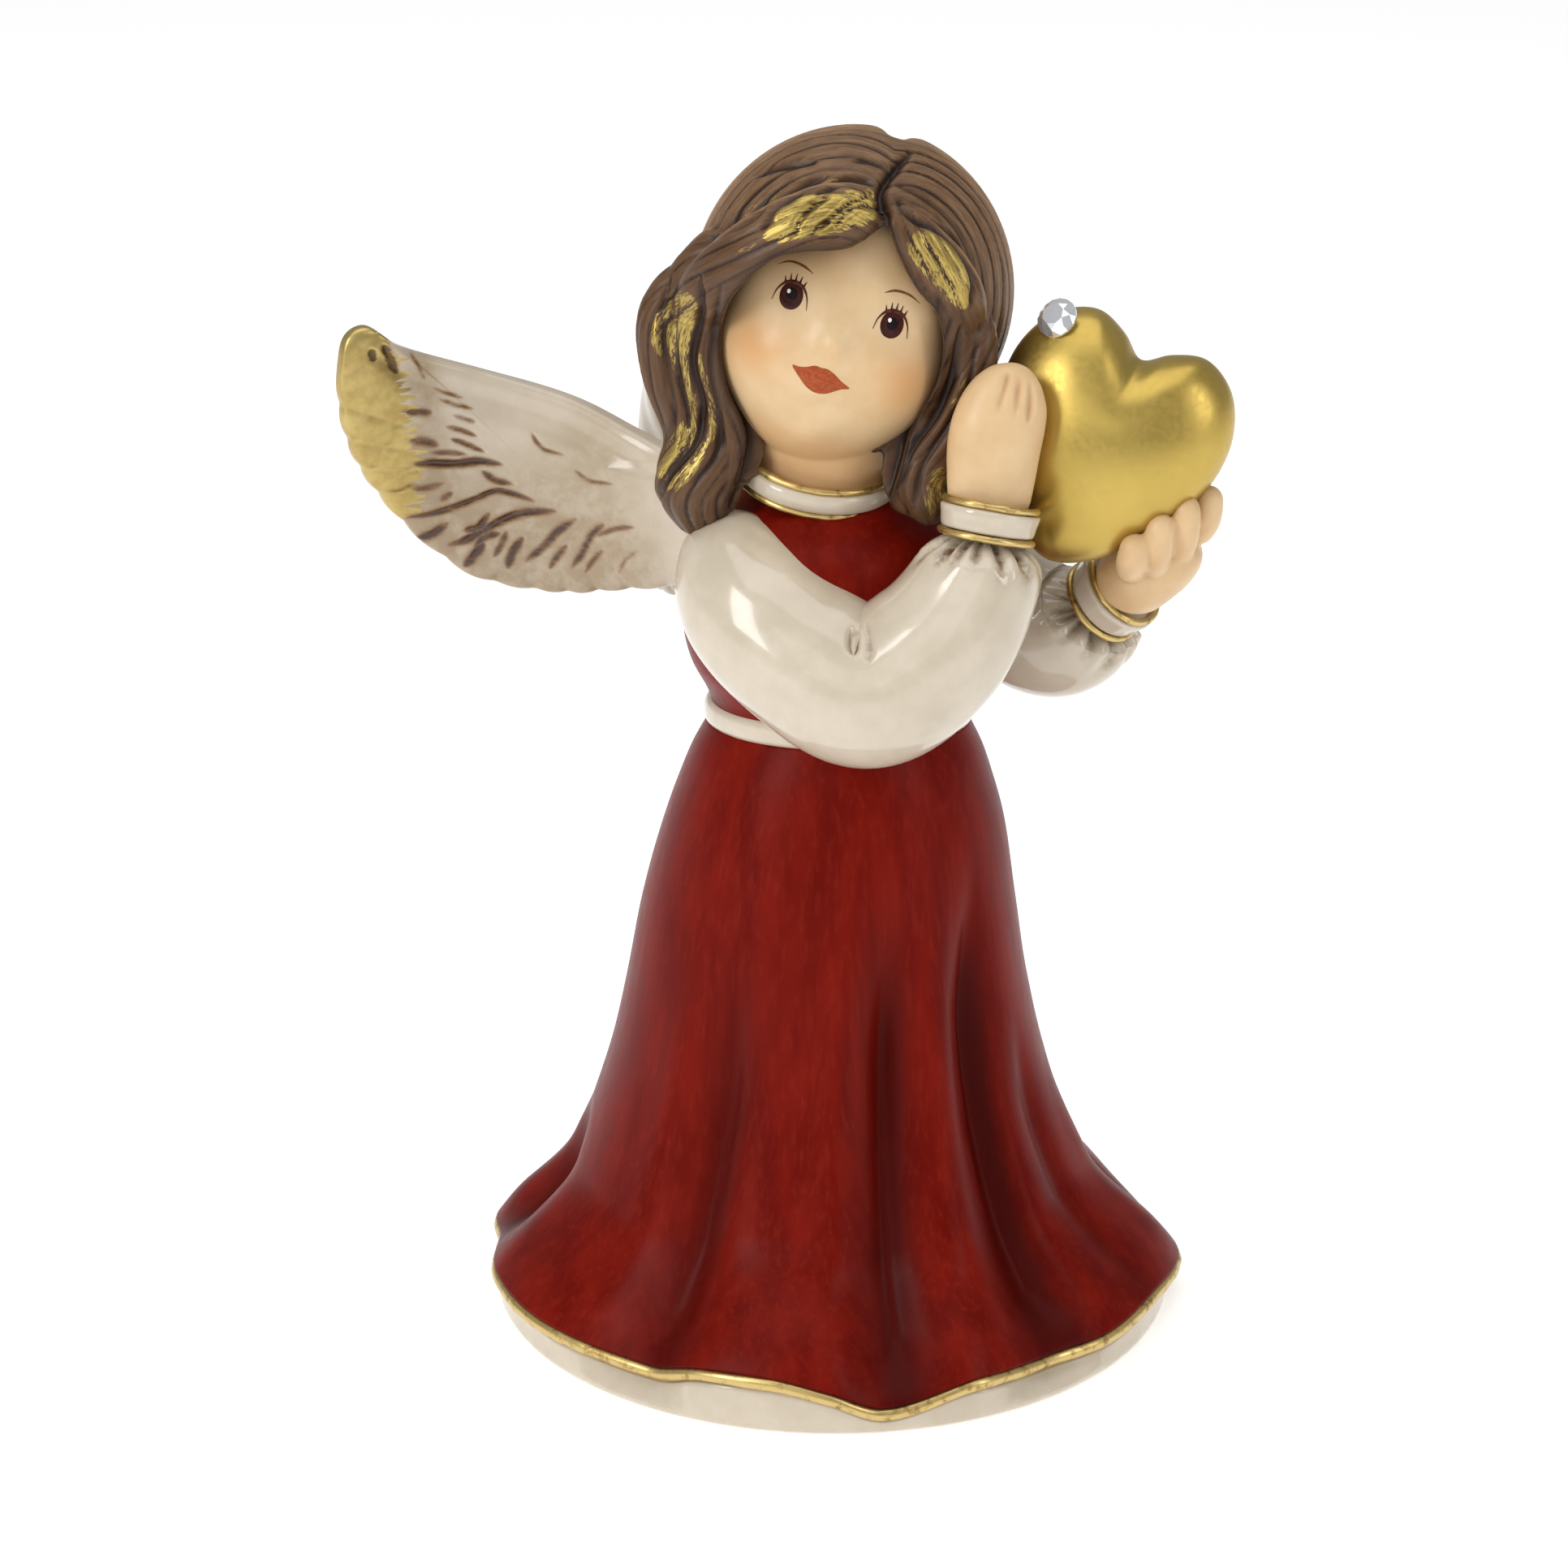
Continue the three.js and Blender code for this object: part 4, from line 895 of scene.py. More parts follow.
ARMS = {
    "right": {
        "sleeve": [(-9.6, -1.5, 95.2), (-10.6, -6.2, 92.4), (-9, -10.6, 89.2), (-3.4, -15, 84.7),
                   (3.6, -17.6, 81.6), (11, -17.4, 86.6), (15.4, -15.8, 93.6), (16.6, -14.9, 98.7)],
        "radii": [4, 7, 8.5, 8.9, 9, 8.4, 7.2, 6.6],
        "cuff": [(16.5, -14.7, 98.3), (17.1, -13.8, 101.7)],
        "cuff_radius": 5.4,
        "bend": (-0.4, -0.8, 0.5),
    },
    "left": {
        "sleeve": [(7, 8, 93.5), (13, 8.6, 88), (20, 6.6, 82), (25.2, 4, 80.2),
                   (28.6, 2, 82.4), (29.9, 0.8, 84.6)],
        "radii": [6.2, 7.4, 7.8, 7.6, 6.9, 6],
        "cuff": [(30.3, 0.2, 85.2), (32.7, -1.5, 87.8)],
        "cuff_radius": 5.1,
        "bend": (-0.4, -0.9, -0.2),
    },
}
CUFF_BEAD = 0.42
GATHERS = 15


def turn_to(axis):
    """A rotation that carries +Z to the axis."""
    return np.array(Vector((0, 0, 1)).rotation_difference(Vector(axis)).to_matrix())


# Pinches in the crook of the right sleeve, as points on it.
CROOK = [
    [(2.0, -21.3, 90.2), (1.8, -23.0, 88.9), (1.9, -23.9, 88.0)],
    [(3.4, -20.6, 90.4), (3.6, -23.2, 88.9), (3.4, -24.8, 87.5)],
]


def make_sleeve(side):
    arm = ARMS[side]
    ob = limb(f"sleeve_{side}", arm["sleeve"], arm["radii"], hint=arm["bend"], rows=330, cols=300, round_=0.1)
    relax(ob, 2)
    p, normal = points_of(ob), normals_of(ob)
    low, high = (np.array(end) for end in arm["cuff"])
    axis = unit(high - low)
    off = p - low
    below = -(off @ axis)
    side_way = unit(np.cross(axis, (0, -1, 0)))
    front_way = np.cross(side_way, axis)
    turn = np.arctan2(off @ front_way, off @ side_way)
    radius = np.linalg.norm(off - (off @ axis)[:, None] * axis, axis=1)
    near = smooth(arm["cuff_radius"] + 5, arm["cuff_radius"] + 3, radius)
    depth, stain = np.zeros(len(p)), np.zeros(len(p))
    for k in range(GATHERS):
        sway = math.sin(k * 2.4)
        middle = (k + 0.28 * math.sin(k * 5.1)) / GATHERS * 2 * math.pi
        round_gap = np.arctan2(np.sin(turn - middle), np.cos(turn - middle)) * arm["cuff_radius"] * 1.1
        reach = 1.5 + 0.9 * abs(sway)
        slant = round_gap + 0.25 * sway * (below - 1)
        share = bump(slant, 0, 0.55 + 0.2 * abs(sway)) * bump(below, 0.9, reach)
        depth = np.maximum(depth, (0.55 + 0.35 * abs(sway)) * share)
        dirt = bump(round_gap, 0, 0.62) * bump(below, 1.3, reach)
        stain = np.maximum(stain, (0.6 + 0.4 * abs(sway)) * dirt)
    depth, stain = depth * near, stain * near * (below > -1.5)
    stain = np.maximum(stain, 0.3 * near * bump(below, 0.2, 1.3))
    stain *= 0.85 if side == "right" else 0.45
    if side == "right":
        for line in CROOK:
            reach = stroke_reach(p, line, 0.55)
            depth = np.maximum(depth, 0.42 * reach)
            stain = np.maximum(stain, 0.4 * stroke_reach(p, line, 0.42))
    move_points(ob, p - normal * depth[:, None])
    relax(ob, 1)
    paint_value(ob, "stain", stain)
    finish_piece(ob, "ivory_glaze", f"sleeve_{side}")


def make_cuff(side):
    arm = ARMS[side]
    low, high = (np.array(p) for p in arm["cuff"])
    axis = unit(high - low)
    turn = turn_to(axis)
    length = np.linalg.norm(high - low) - 2 * CUFF_BEAD - 0.1
    radius = arm["cuff_radius"]
    profile = ((0, 1.2), (0, 0.35), (0.04, 0.1), (0.12, 0), (0.3, 0), (0.5, 0.03), (0.7, 0), (0.88, 0),
               (0.96, 0.1), (1, 0.35), (1, 1.2))
    a = turns(160)
    rings = np.array([about_z(radius - 0.25 + 0.5 * share - inset, a, (share - 0.5) * length)
                      for share, inset in profile])
    ob = mesh_object(f"cuff_{side}", *rings_to_mesh(rings @ turn.T + (low + high) / 2))
    finish_piece(ob, "ivory_glaze", f"cuff_{side}")
    for end, word, seed in ((low, "lower", 7), (high, "upper", 8)):
        node = f"cuff_gilt_{word}_{side}"
        rings = bead_loop(end, turn, radius - CUFF_BEAD + 0.1, CUFF_BEAD, 200, 0.3, seed)
        finish_piece(mesh_object(node, *loop_mesh(rings)), "gilding", node)


RIGHT_PALM = [(16.7, -14.4, 99.6), (17.0, -13.2, 104.6), (17.5, -12.6, 109.2), (18.9, -11.9, 113.6),
              (20.4, -11.2, 117.0)]
RIGHT_GROOVES = [
    [(17.4, -15.2, 112.4), (18.2, -14.4, 115.0), (18.9, -13.2, 117.4)],
    [(19.2, -15.2, 112.0), (19.9, -14.4, 115.0), (20.3, -13.2, 117.8)],
    [(20.9, -15.0, 111.6), (21.4, -14.2, 114.4), (21.6, -13.2, 116.6)],
]
LEFT_PALM = [(32.4, -1.6, 87.6), (34.4, -4, 90.2), (37, -5.6, 93.2), (38.5, -6.6, 95.8)]
LEFT_FINGERS = [
    [(32.8, -7.4, 91.6), (32.8, -11.4, 94.4), (33.2, -12.6, 97.6)],
    [(35.4, -7, 91.4), (35.6, -11.2, 95.6), (36, -12, 100)],
    [(38, -6, 92.4), (38.6, -10, 97), (38.9, -10.4, 101.6)],
    [(40.2, -4.4, 94.6), (41.2, -7.4, 98), (41.6, -7.8, 101.8)],
]


def make_hand(side):
    if side == "right":
        parts = [limb("palm", RIGHT_PALM, [4.2, 4.9, 5.2, 4.5, 2.0], 0.7, (0, -1, 0), 80, 72, 0.12)]
        thumb = [(14.6, -12.6, 104.6), (14.2, -12.2, 107.6), (14.9, -11.4, 110.6)]
        parts.append(limb("thumb", thumb, [1.6, 1.7, 1.2], 1.0, (1, 0, 0), 40, 32, 0.25))
    else:
        parts = [limb("palm", LEFT_PALM, [4.7, 4.9, 4.6, 3.2], 0.88, (0.4, -0.6, -0.5), 60, 60, 0.2)]
        for k, path in enumerate(LEFT_FINGERS):
            parts.append(limb(f"finger_{k}", path, [1.65, 1.75, 1.5], 1.0, (1, 0, 0), 40, 32, 0.2))
    ob = fused(f"hand_{side}", parts, 0.2, 10)
    p = points_of(ob)
    grooves = np.zeros(len(p))
    if side == "right":
        for line in RIGHT_GROOVES:
            grooves = np.maximum(grooves, stroke_reach(p, line, 0.5))
        move_points(ob, p - normals_of(ob) * (0.4 * grooves)[:, None])
        relax(ob, 1)
    # Uneven blush, with painted shade in the finger grooves and in the hollows between the fingers.
    paint_value(ob, "blush_and_shade", 0.3 * value_noise(points_of(ob), 6, 4) + 0.2 * grooves)
    paint_value(ob, "crease_shade", np.clip(hollows(ob, 6) * 9, 0, 1) + 0.25 * grooves)
    finish_piece(ob, "skin", f"hand_{side}")


# ---- Heart and crystal ----

HEART_SIDE = [
    (0, 8.3), (2.8, 10.2), (6.6, 11.4), (10.6, 9.3), (12.9, 4.8), (13, -0.5), (11, -6), (7.8, -10.8),
    (4, -14.6), (0, -16.2),
]


def make_heart():
    turn = three_turn(*HEART_TILT)
    around = HEART_SIDE + [(-x, z) for x, z in HEART_SIDE[-2:0:-1]]
    outline = Path([(x, 0, z) for x, z in around], closed=True)
    rows, cols = 150, 300
    share = np.linspace(0, 1, cols, endpoint=False)
    edge = outline.at(share)
    tilt = (np.arange(rows) + 0.5) / rows * math.pi
    out = np.sin(tilt)
    through = -np.cos(tilt)
    turn_round = np.arctan2(edge[:, 2] + 1.5, edge[:, 0])
    oval = np.stack((12.2 * np.cos(turn_round), 0 * turn_round, 12.2 * np.sin(turn_round) - 1.5), -1)
    firm = smooth(0.1, 0.95, out)[:, None, None]
    rings = mix(oval[None], edge[None], firm) * out[:, None, None]
    rings[..., 1] = (through * HEART_HALF_DEPTH)[:, None]
    # The cleft between the lobes runs softly on over the front and the back.
    x, z = rings[..., 0], rings[..., 2]
    cleft = np.exp(-(x / 3.4) ** 2) * smooth(0, 11, z)
    rings[..., 1] *= 1 - 0.2 * cleft
    ob = mesh_object("heart", *rings_to_mesh(rings @ turn.T + HEART_CENTRE))
    relax(ob, 6)
    # Painted shade: the heart is painted darker in its hollows, such as the cleft between the lobes.
    paint_value(ob, "crease_shade", np.clip(hollows(ob, 10) * 3, 0, 1))
    finish_piece(ob, "satin_gold", "heart")


def make_crystal():
    """A flat-back stone: a table, star and crown facets and a thin girdle over a silvered back."""
    turn = three_turn(*HEART_TILT)
    site = turn @ np.array((-10.1, -3.3, 8.7)) + HEART_CENTRE
    facing = unit((-0.45, -0.62, 0.64))
    basis = turn_to(facing)
    radius = 2.35

    table = about_z(radius * 0.55, turns(8), 1.45)
    star = about_z(radius * 0.8, turns(8, math.pi / 8), 0.98)
    girdle_top, girdle_low = about_z(radius, turns(16), 0.42), about_z(radius, turns(16), 0.12)
    pavilion = about_z(radius * 0.55, turns(8), -0.4)
    points = np.vstack((table, star, girdle_top, girdle_low, pavilion, [(0, 0, -0.7)]))
    t0, s0, g0, h0, p0, tip = 0, 8, 16, 32, 48, 56
    faces = [tuple(range(8))]
    for k in range(8):
        n = (k + 1) % 8
        faces.append((t0 + k, s0 + k, t0 + n))
        a, b, c = g0 + 2 * k, g0 + 2 * k + 1, g0 + (2 * k + 2) % 16
        faces += [(s0 + k, a, b), (s0 + k, b, c), (t0 + n, s0 + k, c), (t0 + n, c, s0 + n)]
        faces += [(p0 + k, p0 + n, tip), (p0 + k, h0 + (2 * k + 2) % 16, p0 + n)]
        faces += [(p0 + k, h0 + 2 * k, h0 + 2 * k + 1), (p0 + k, h0 + 2 * k + 1, h0 + (2 * k + 2) % 16)]
    for k in range(16):
        n = (k + 1) % 16
        faces.append((g0 + k, h0 + k, h0 + n, g0 + n))
    ob = mesh_object("crystal", points @ basis.T + site, faces)
    ob.data.shade_flat()
    finish_piece(ob, "crystal", "crystal")


# ---- Wings ----

WING_OUTLINE = [
    (3, 97.6), (10.5, 98.4), (16, 100), (23, 102.8), (34.4, 106.4), (43.6, 110), (48, 113), (50.4, 112),
    (51.4, 105.4), (50, 98.4), (46.4, 92), (41, 85.6), (34.8, 81), (25.3, 79.2), (18, 80.2), (10.5, 82),
    (3, 84.6),
]
WING_LINE = [(-10.9, 7.1), (-30, 30.5), (-57, 13.5)]
WING_MIDDLE = (27, 93.5)


def bezier_table(count=400):
    t = np.linspace(0, 1, count)[:, None]
    a, b, c = (np.array(p, float) for p in WING_LINE)
    place = (1 - t) ** 2 * a + 2 * t * (1 - t) * b + t * t * c
    length = np.concatenate(([0], np.cumsum(np.linalg.norm(np.diff(place, axis=0), axis=1))))
    return place, length


# Brown strokes between the feathers, as [distance along the wing, height]: the line, half width and strength.
WING_STROKES = [
    ([(47.8, 110.6), (47.6, 109.0)], 0.5, 0.9),
    ([(46.3, 110.9), (45.6, 109.2), (44.7, 107.2)], 0.55, 1.0),
    ([(42.9, 109.5), (42.0, 107.8), (41.2, 106.0)], 0.3, 0.45),
    ([(40.4, 105.1), (38.4, 104.2), (36.5, 103.5)], 0.26, 0.45),
    ([(43.9, 102.6), (42.2, 102.5), (40.5, 102.2)], 0.4, 0.8),
    ([(39.6, 103.7), (37.6, 102.9), (35.4, 102.2)], 0.28, 0.5),
    ([(38.0, 101.7), (35.1, 100.6)], 0.28, 0.5),
    ([(38.9, 100.4), (37.0, 99.8), (35.0, 98.9)], 0.3, 0.6),
    ([(38.4, 98.9), (36.4, 98.1), (34.2, 97.0)], 0.32, 0.65),
    ([(43.4, 99.2), (41.6, 98.9), (39.8, 98.2)], 0.5, 0.7),
    ([(43.0, 96.2), (40.6, 96.1), (38.2, 95.8), (35.2, 95.9), (32.0, 95.4)], 0.46, 1.0),
    ([(41.0, 97.4), (38.6, 97.2), (36.4, 96.8)], 0.34, 0.6),
    ([(34.6, 94.7), (32.8, 93.5), (30.7, 92.9)], 0.38, 0.8),
    ([(44.2, 89.6), (41.4, 89.8), (38.3, 90.4), (35.4, 91.3), (32.7, 92.2), (30.2, 91.6),
      (27.9, 90.8)], 0.36, 0.85),
    ([(39.8, 91.4), (38.2, 92.3)], 0.36, 0.7),
    ([(28.4, 99.3), (27.6, 98.0), (26.6, 97.2), (24.1, 96.6)], 0.26, 0.55),
    ([(22.9, 94.9), (20.9, 93.8), (17.7, 93.7)], 0.26, 0.6),
    ([(43.8, 93.4), (41.4, 93.2), (39.2, 93.5)], 0.4, 0.6),
    ([(42.6, 86.8), (40.9, 87.2), (38.8, 88.6)], 0.5, 1.0),
    ([(38.9, 85.7), (37.0, 86.1), (35.3, 86.9), (32.8, 88.2), (30.4, 89.2), (28.0, 89.6),
      (25.2, 89.7)], 0.5, 0.95),
    ([(36.9, 82.8), (35.6, 84.2), (34.4, 85.8)], 0.55, 1.0),
    ([(36.9, 87.5), (35.2, 87.6), (33.7, 89.5)], 0.5, 0.9),
    ([(35.7, 85.2), (34.2, 86.6), (32.4, 86.9)], 0.4, 0.9),
    ([(31.6, 82.4), (30.9, 84.4), (29.6, 86.4)], 0.5, 0.95),
    ([(33.3, 83.9), (32.2, 85.6), (31.6, 87.2)], 0.4, 0.7),
    ([(29.4, 83.3), (27.0, 85.2), (25.2, 87.2), (22.7, 89.0)], 0.46, 0.9),
    ([(26.4, 82.4), (25.2, 84.2), (24.0, 85.6)], 0.4, 0.7),
    ([(23.6, 82.6), (22.0, 84.8), (20.7, 87.2), (19.0, 88.7)], 0.42, 0.85),
    ([(21.9, 82.2), (20.6, 84.0), (19.3, 85.4)], 0.36, 0.6),
    ([(20.4, 86.9), (17.6, 88.2), (14.7, 88.9)], 0.32, 0.6),
    ([(17.4, 82.6), (16.2, 84.6), (14.2, 86.2)], 0.3, 0.4),
]
# Where the gold of the tip ends, as [distance along the wing, height], from the top down.
WING_GOLD_EDGE = [(46.5, 114.0), (45.4, 110.4), (44.2, 107.4), (43.5, 104.0), (43.1, 100.0), (42.6, 96.5),
                  (42.4, 93.2), (43.2, 90.6), (45.6, 87.0)]
FEATHER_TIPS = 5.2


def make_wing(side):
    place, length = bezier_table()
    rows, cols = 190, 540
    share = np.linspace(0, 1, cols, endpoint=False)
    edge = Path([(u, 0, z) for u, z in WING_OUTLINE], closed=True).at(share)[:, (0, 2)]
    middle = np.array(WING_MIDDLE)
    arc = np.concatenate(([0], np.cumsum(np.linalg.norm(np.diff(edge, axis=0), axis=1))))
    feathered = smooth(7.2 / 17, 8.2 / 17, share) * (1 - smooth(14.6 / 17, 15.6 / 17, share))
    feather_place = arc / FEATHER_TIPS + 0.35 * np.sin(arc / 5.3)
    scallop = np.abs(np.sin(math.pi * feather_place)) ** 0.7 - 0.6
    along_edge = unit(np.roll(edge, -1, 0) - np.roll(edge, 1, 0))
    outward = np.stack((-along_edge[:, 1], along_edge[:, 0]), -1)
    outward *= np.sign(np.einsum("ij,ij->i", outward, edge - middle))[:, None]
    edge = edge + outward * (0.42 * feathered * scallop)[:, None]
    tilt = (np.arange(rows) + 0.5) / rows * math.pi
    out = np.sin(tilt)[:, None, None]
    flat = middle + (edge - middle) * out
    off = signed_power(-np.cos(tilt), 0.5)[:, None] * WING_HALF_THICKNESS * np.ones((1, cols))
    u, z = flat[..., 0].ravel(), flat[..., 1].ravel()
    at = np.stack((u, z), -1)
    # Grooves between the feathers run in from the scallops; the leading edge is a rolled rim.
    feather = (1 - np.abs(np.sin(math.pi * feather_place))) ** 3 * feathered
    from_middle = out[..., 0]
    groove = 0.22 * feather[None] * from_middle ** 4 * smooth(1.0, 0.93, from_middle ** 6 * 0.5 + 0.5)
    groove = groove.ravel()
    rim = [(10, 95.6), (16, 97.0), (23, 99.9), (34, 103.4), (43, 106.8), (47, 109.6)]
    groove = groove + 0.45 * stroke_reach(at, rim, 1.5)
    stain = np.zeros(len(at))
    for line, half_width, strength in WING_STROKES:
        reach = stroke_reach(at, line, half_width)
        stain = np.maximum(stain, strength * (0.8 * reach + 0.3 * stroke_reach(at, line, 2.2 * half_width)))
        groove = np.maximum(groove, 0.3 * strength * reach)
    boundary = np.interp(-z, [-b for _, b in WING_GOLD_EDGE], [a for a, _ in WING_GOLD_EDGE])
    tip = smooth(-0.5, 0.5, u - boundary)
    groove = groove + 0.16 * tip * strands(z + 0.6 * (u - 45) + 0.8 * np.sin(z), 3.4, 2)
    low = smooth(100, 86, z - 0.25 * (u - 27))
    haze = low * 0.8 * smooth(6, 16, u) + 0.75 * bump(u, 41.5, 2.6) + 0.5 * bump(u, 20, 8) * bump(z, 96, 7)
    off = off * (1 - groove.reshape(off.shape) / WING_HALF_THICKNESS)
    t = np.clip(u, 0, length[-1]).reshape(off.shape)
    x, y = np.interp(t, length, place[:, 0]), np.interp(t, length, place[:, 1])
    tx = np.interp(t + 0.4, length, place[:, 0]) - np.interp(t - 0.4, length, place[:, 0])
    ty = np.interp(t + 0.4, length, place[:, 1]) - np.interp(t - 0.4, length, place[:, 1])
    size = np.hypot(tx, ty) + 1e-9
    tx, ty = tx / size, ty / size
    if side == "left":
        off = -off
    wx, wy = x - ty * off, y + tx * off
    if side == "left":
        wx, wy = -wy, -wx
    drop = LEFT_WING_DROP if side == "left" else 0
    ob = mesh_object(f"wing_{side}", *rings_to_mesh(np.stack((wx, wy, z.reshape(off.shape) - drop), -1)))
    relax(ob, 3)

    def poles(values, fill=0.0):
        return np.concatenate((values, [fill, fill]))

    paint_value(ob, "stain", poles(stain))
    paint_value(ob, "haze", poles(np.clip(haze, 0, 1), 0.1))
    paint_value(ob, "gold_edge", poles((u - boundary) * MM, -20 * MM))
    paint_value(ob, "along", poles(u * MM))
    paint_value(ob, "up", poles(z * MM))
    finish_piece(ob, "ivory_glaze", f"wing_{side}", material="wing")


# ---- Materials ----

class Nodes:
    """A material's nodes, written as calls: each returns the socket that the next one takes."""

    def __init__(self, name):
        self.material = bpy.data.materials.new(name)
        self.material.use_nodes = True
        self.tree = self.material.node_tree
        self.shader = self.tree.nodes["Principled BSDF"]
        self.place = self.tree.nodes.new("ShaderNodeTexCoord").outputs["Object"]

    def put(self, socket, value):
        if isinstance(value, bpy.types.NodeSocket):
            self.tree.links.new(value, socket)
        elif isinstance(value, (tuple, list)) and socket.type == "RGBA":
            socket.default_value = (*value, 1.0)[:4]
        else:
            socket.default_value = value

    def set(self, **values):
        for name, value in values.items():
            self.put(self.shader.inputs[name.replace("_", " ")], value)

    def make(self, kind, **settings):
        made = self.tree.nodes.new(kind)
        for name, value in settings.items():
            setattr(made, name, value)
        return made

    def math(self, operation, a, b=0.0, clamp=False):
        made = self.make("ShaderNodeMath", operation=operation, use_clamp=clamp)
        for socket, value in zip(made.inputs, (a, b)):
            self.put(socket, value)
        return made.outputs[0]

    def noise(self, vector, scale, detail=3.0, rough=0.5):
        made = self.make("ShaderNodeTexNoise")
        self.put(made.inputs["Vector"], vector)
        made.inputs["Scale"].default_value = scale
        made.inputs["Detail"].default_value = detail
        made.inputs["Roughness"].default_value = rough
        return made.outputs["Fac"]

    def stretched(self, x, y, z):
        made = self.make("ShaderNodeMapping")
        self.put(made.inputs["Vector"], self.place)
        made.inputs["Scale"].default_value = (x, y, z)
        return made.outputs[0]

    def ramp(self, value, low, high, start=0.0, end=1.0):
        made = self.make("ShaderNodeMapRange", interpolation_type="SMOOTHSTEP")
        limits = {"Value": value, "From Min": low, "From Max": high, "To Min": start, "To Max": end}
        for name, limit in limits.items():
            self.put(made.inputs[name], limit)
        return made.outputs["Result"]

    def blend(self, share, a, b):
        made = self.make("ShaderNodeMix", data_type="RGBA")
        self.put(made.inputs[0], share)
        self.put(made.inputs[6], a)
        self.put(made.inputs[7], b)
        return made.outputs[2]

    def value(self, name):
        return self.make("ShaderNodeAttribute", attribute_name=name).outputs["Fac"]

    def vector(self, x, y, z=0.0):
        made = self.make("ShaderNodeCombineXYZ")
        for socket, value in zip(made.inputs, (x, y, z)):
            self.put(socket, value)
        return made.outputs[0]

    def bump(self, height, strength, distance):
        made = self.make("ShaderNodeBump")
        self.put(made.inputs["Height"], height)
        made.inputs["Strength"].default_value = strength
        made.inputs["Distance"].default_value = distance * MM
        self.put(self.shader.inputs["Normal"], made.outputs[0])


def glaze_base(n):
    mottle = n.noise(n.place, 160, 4, 0.6)
    return n.blend(n.ramp(mottle, 0.3, 0.7), (0.635, 0.555, 0.44), (0.56, 0.48, 0.365))


def make_ivory():
    n = Nodes("ivory_glaze")
    cream = glaze_base(n)
    worn = n.noise(n.place, 1100, 3, 0.65)
    stain = n.math("MULTIPLY", n.value("stain"), n.ramp(worn, 0.35, 0.6, 0.35, 1.3), clamp=True)
    n.set(Base_Color=n.blend(stain, cream, (0.14, 0.066, 0.028)),
          Roughness=n.ramp(worn, 0.3, 0.7, 0.12, 0.18), Coat_Weight=0.4, Coat_Roughness=0.06, IOR=1.5)
    n.bump(n.noise(n.place, 300, 2, 0.5), 0.2, 0.05)
    return n.material


def make_wing_material():
    n = Nodes("wing_glaze")
    cream = glaze_base(n)
    mottle = n.noise(n.place, 420, 4, 0.65)
    across_feathers = n.vector(n.math("MULTIPLY", n.value("along"), 0.4), n.value("up"))
    dry = n.noise(across_feathers, 900, 4, 0.7)
    haze = n.math("MULTIPLY", n.value("haze"), n.ramp(mottle, 0.3, 0.65, 0.7, 1.25), clamp=True)
    washed = n.blend(haze, cream, (0.37, 0.275, 0.165))
    stain = n.math("MULTIPLY", n.value("stain"), n.ramp(dry, 0.3, 0.6, 0.7, 1.2), clamp=True)
    brown = n.blend(n.ramp(stain, 0.05, 0.6), washed, (0.23, 0.115, 0.04))
    brown = n.blend(n.ramp(stain, 0.4, 1.0), brown, (0.05, 0.018, 0.005))
    spikes = n.noise(n.vector(n.math("MULTIPLY", n.value("along"), 0.12), n.value("up")), 1500, 2, 0.6)
    reach = n.math("ADD", n.value("gold_edge"), n.ramp(spikes, 0.3, 0.7, -1.3 * MM, 1.5 * MM))
    gold = n.ramp(reach, -0.12 * MM, 0.12 * MM)
    golden = n.blend(n.ramp(mottle, 0.3, 0.7), (0.42, 0.30, 0.095), (0.54, 0.41, 0.15))
    golden = n.blend(n.math("MULTIPLY", n.ramp(stain, 0.25, 0.8), 0.9), golden, (0.09, 0.05, 0.02))
    n.set(Base_Color=n.blend(gold, brown, golden), Metallic=n.math("MULTIPLY", gold, 0.85),
          Roughness=n.ramp(gold, 0, 1, 0.2, 0.36), Coat_Weight=0.2, Coat_Roughness=0.1)
    n.bump(n.noise(n.place, 900, 3, 0.5), 0.2, 0.05)
    return n.material


def make_red():
    n = Nodes("red_gown")
    streak = n.noise(n.stretched(1, 1, 0.04), 1500, 3, 0.6)
    wide = n.noise(n.stretched(1, 1, 0.07), 300, 3, 0.5)
    base = n.blend(n.ramp(wide, 0.3, 0.7), (0.125, 0.0035, 0.0012), (0.18, 0.007, 0.0025))
    base = n.blend(n.ramp(streak, 0.45, 0.75, 0, 0.35), base, (0.235, 0.017, 0.007))
    # Painted shade: darker red in the fold valleys and next to the sash.
    base = n.blend(n.math("MULTIPLY", n.value("hollow_shade"), 0.85), base, (0.05, 0.0022, 0.0014))
    n.set(Base_Color=base, Roughness=n.ramp(streak, 0.3, 0.8, 0.32, 0.42), Specular_IOR_Level=0.06)
    n.bump(streak, 0.18, 0.05)
    return n.material


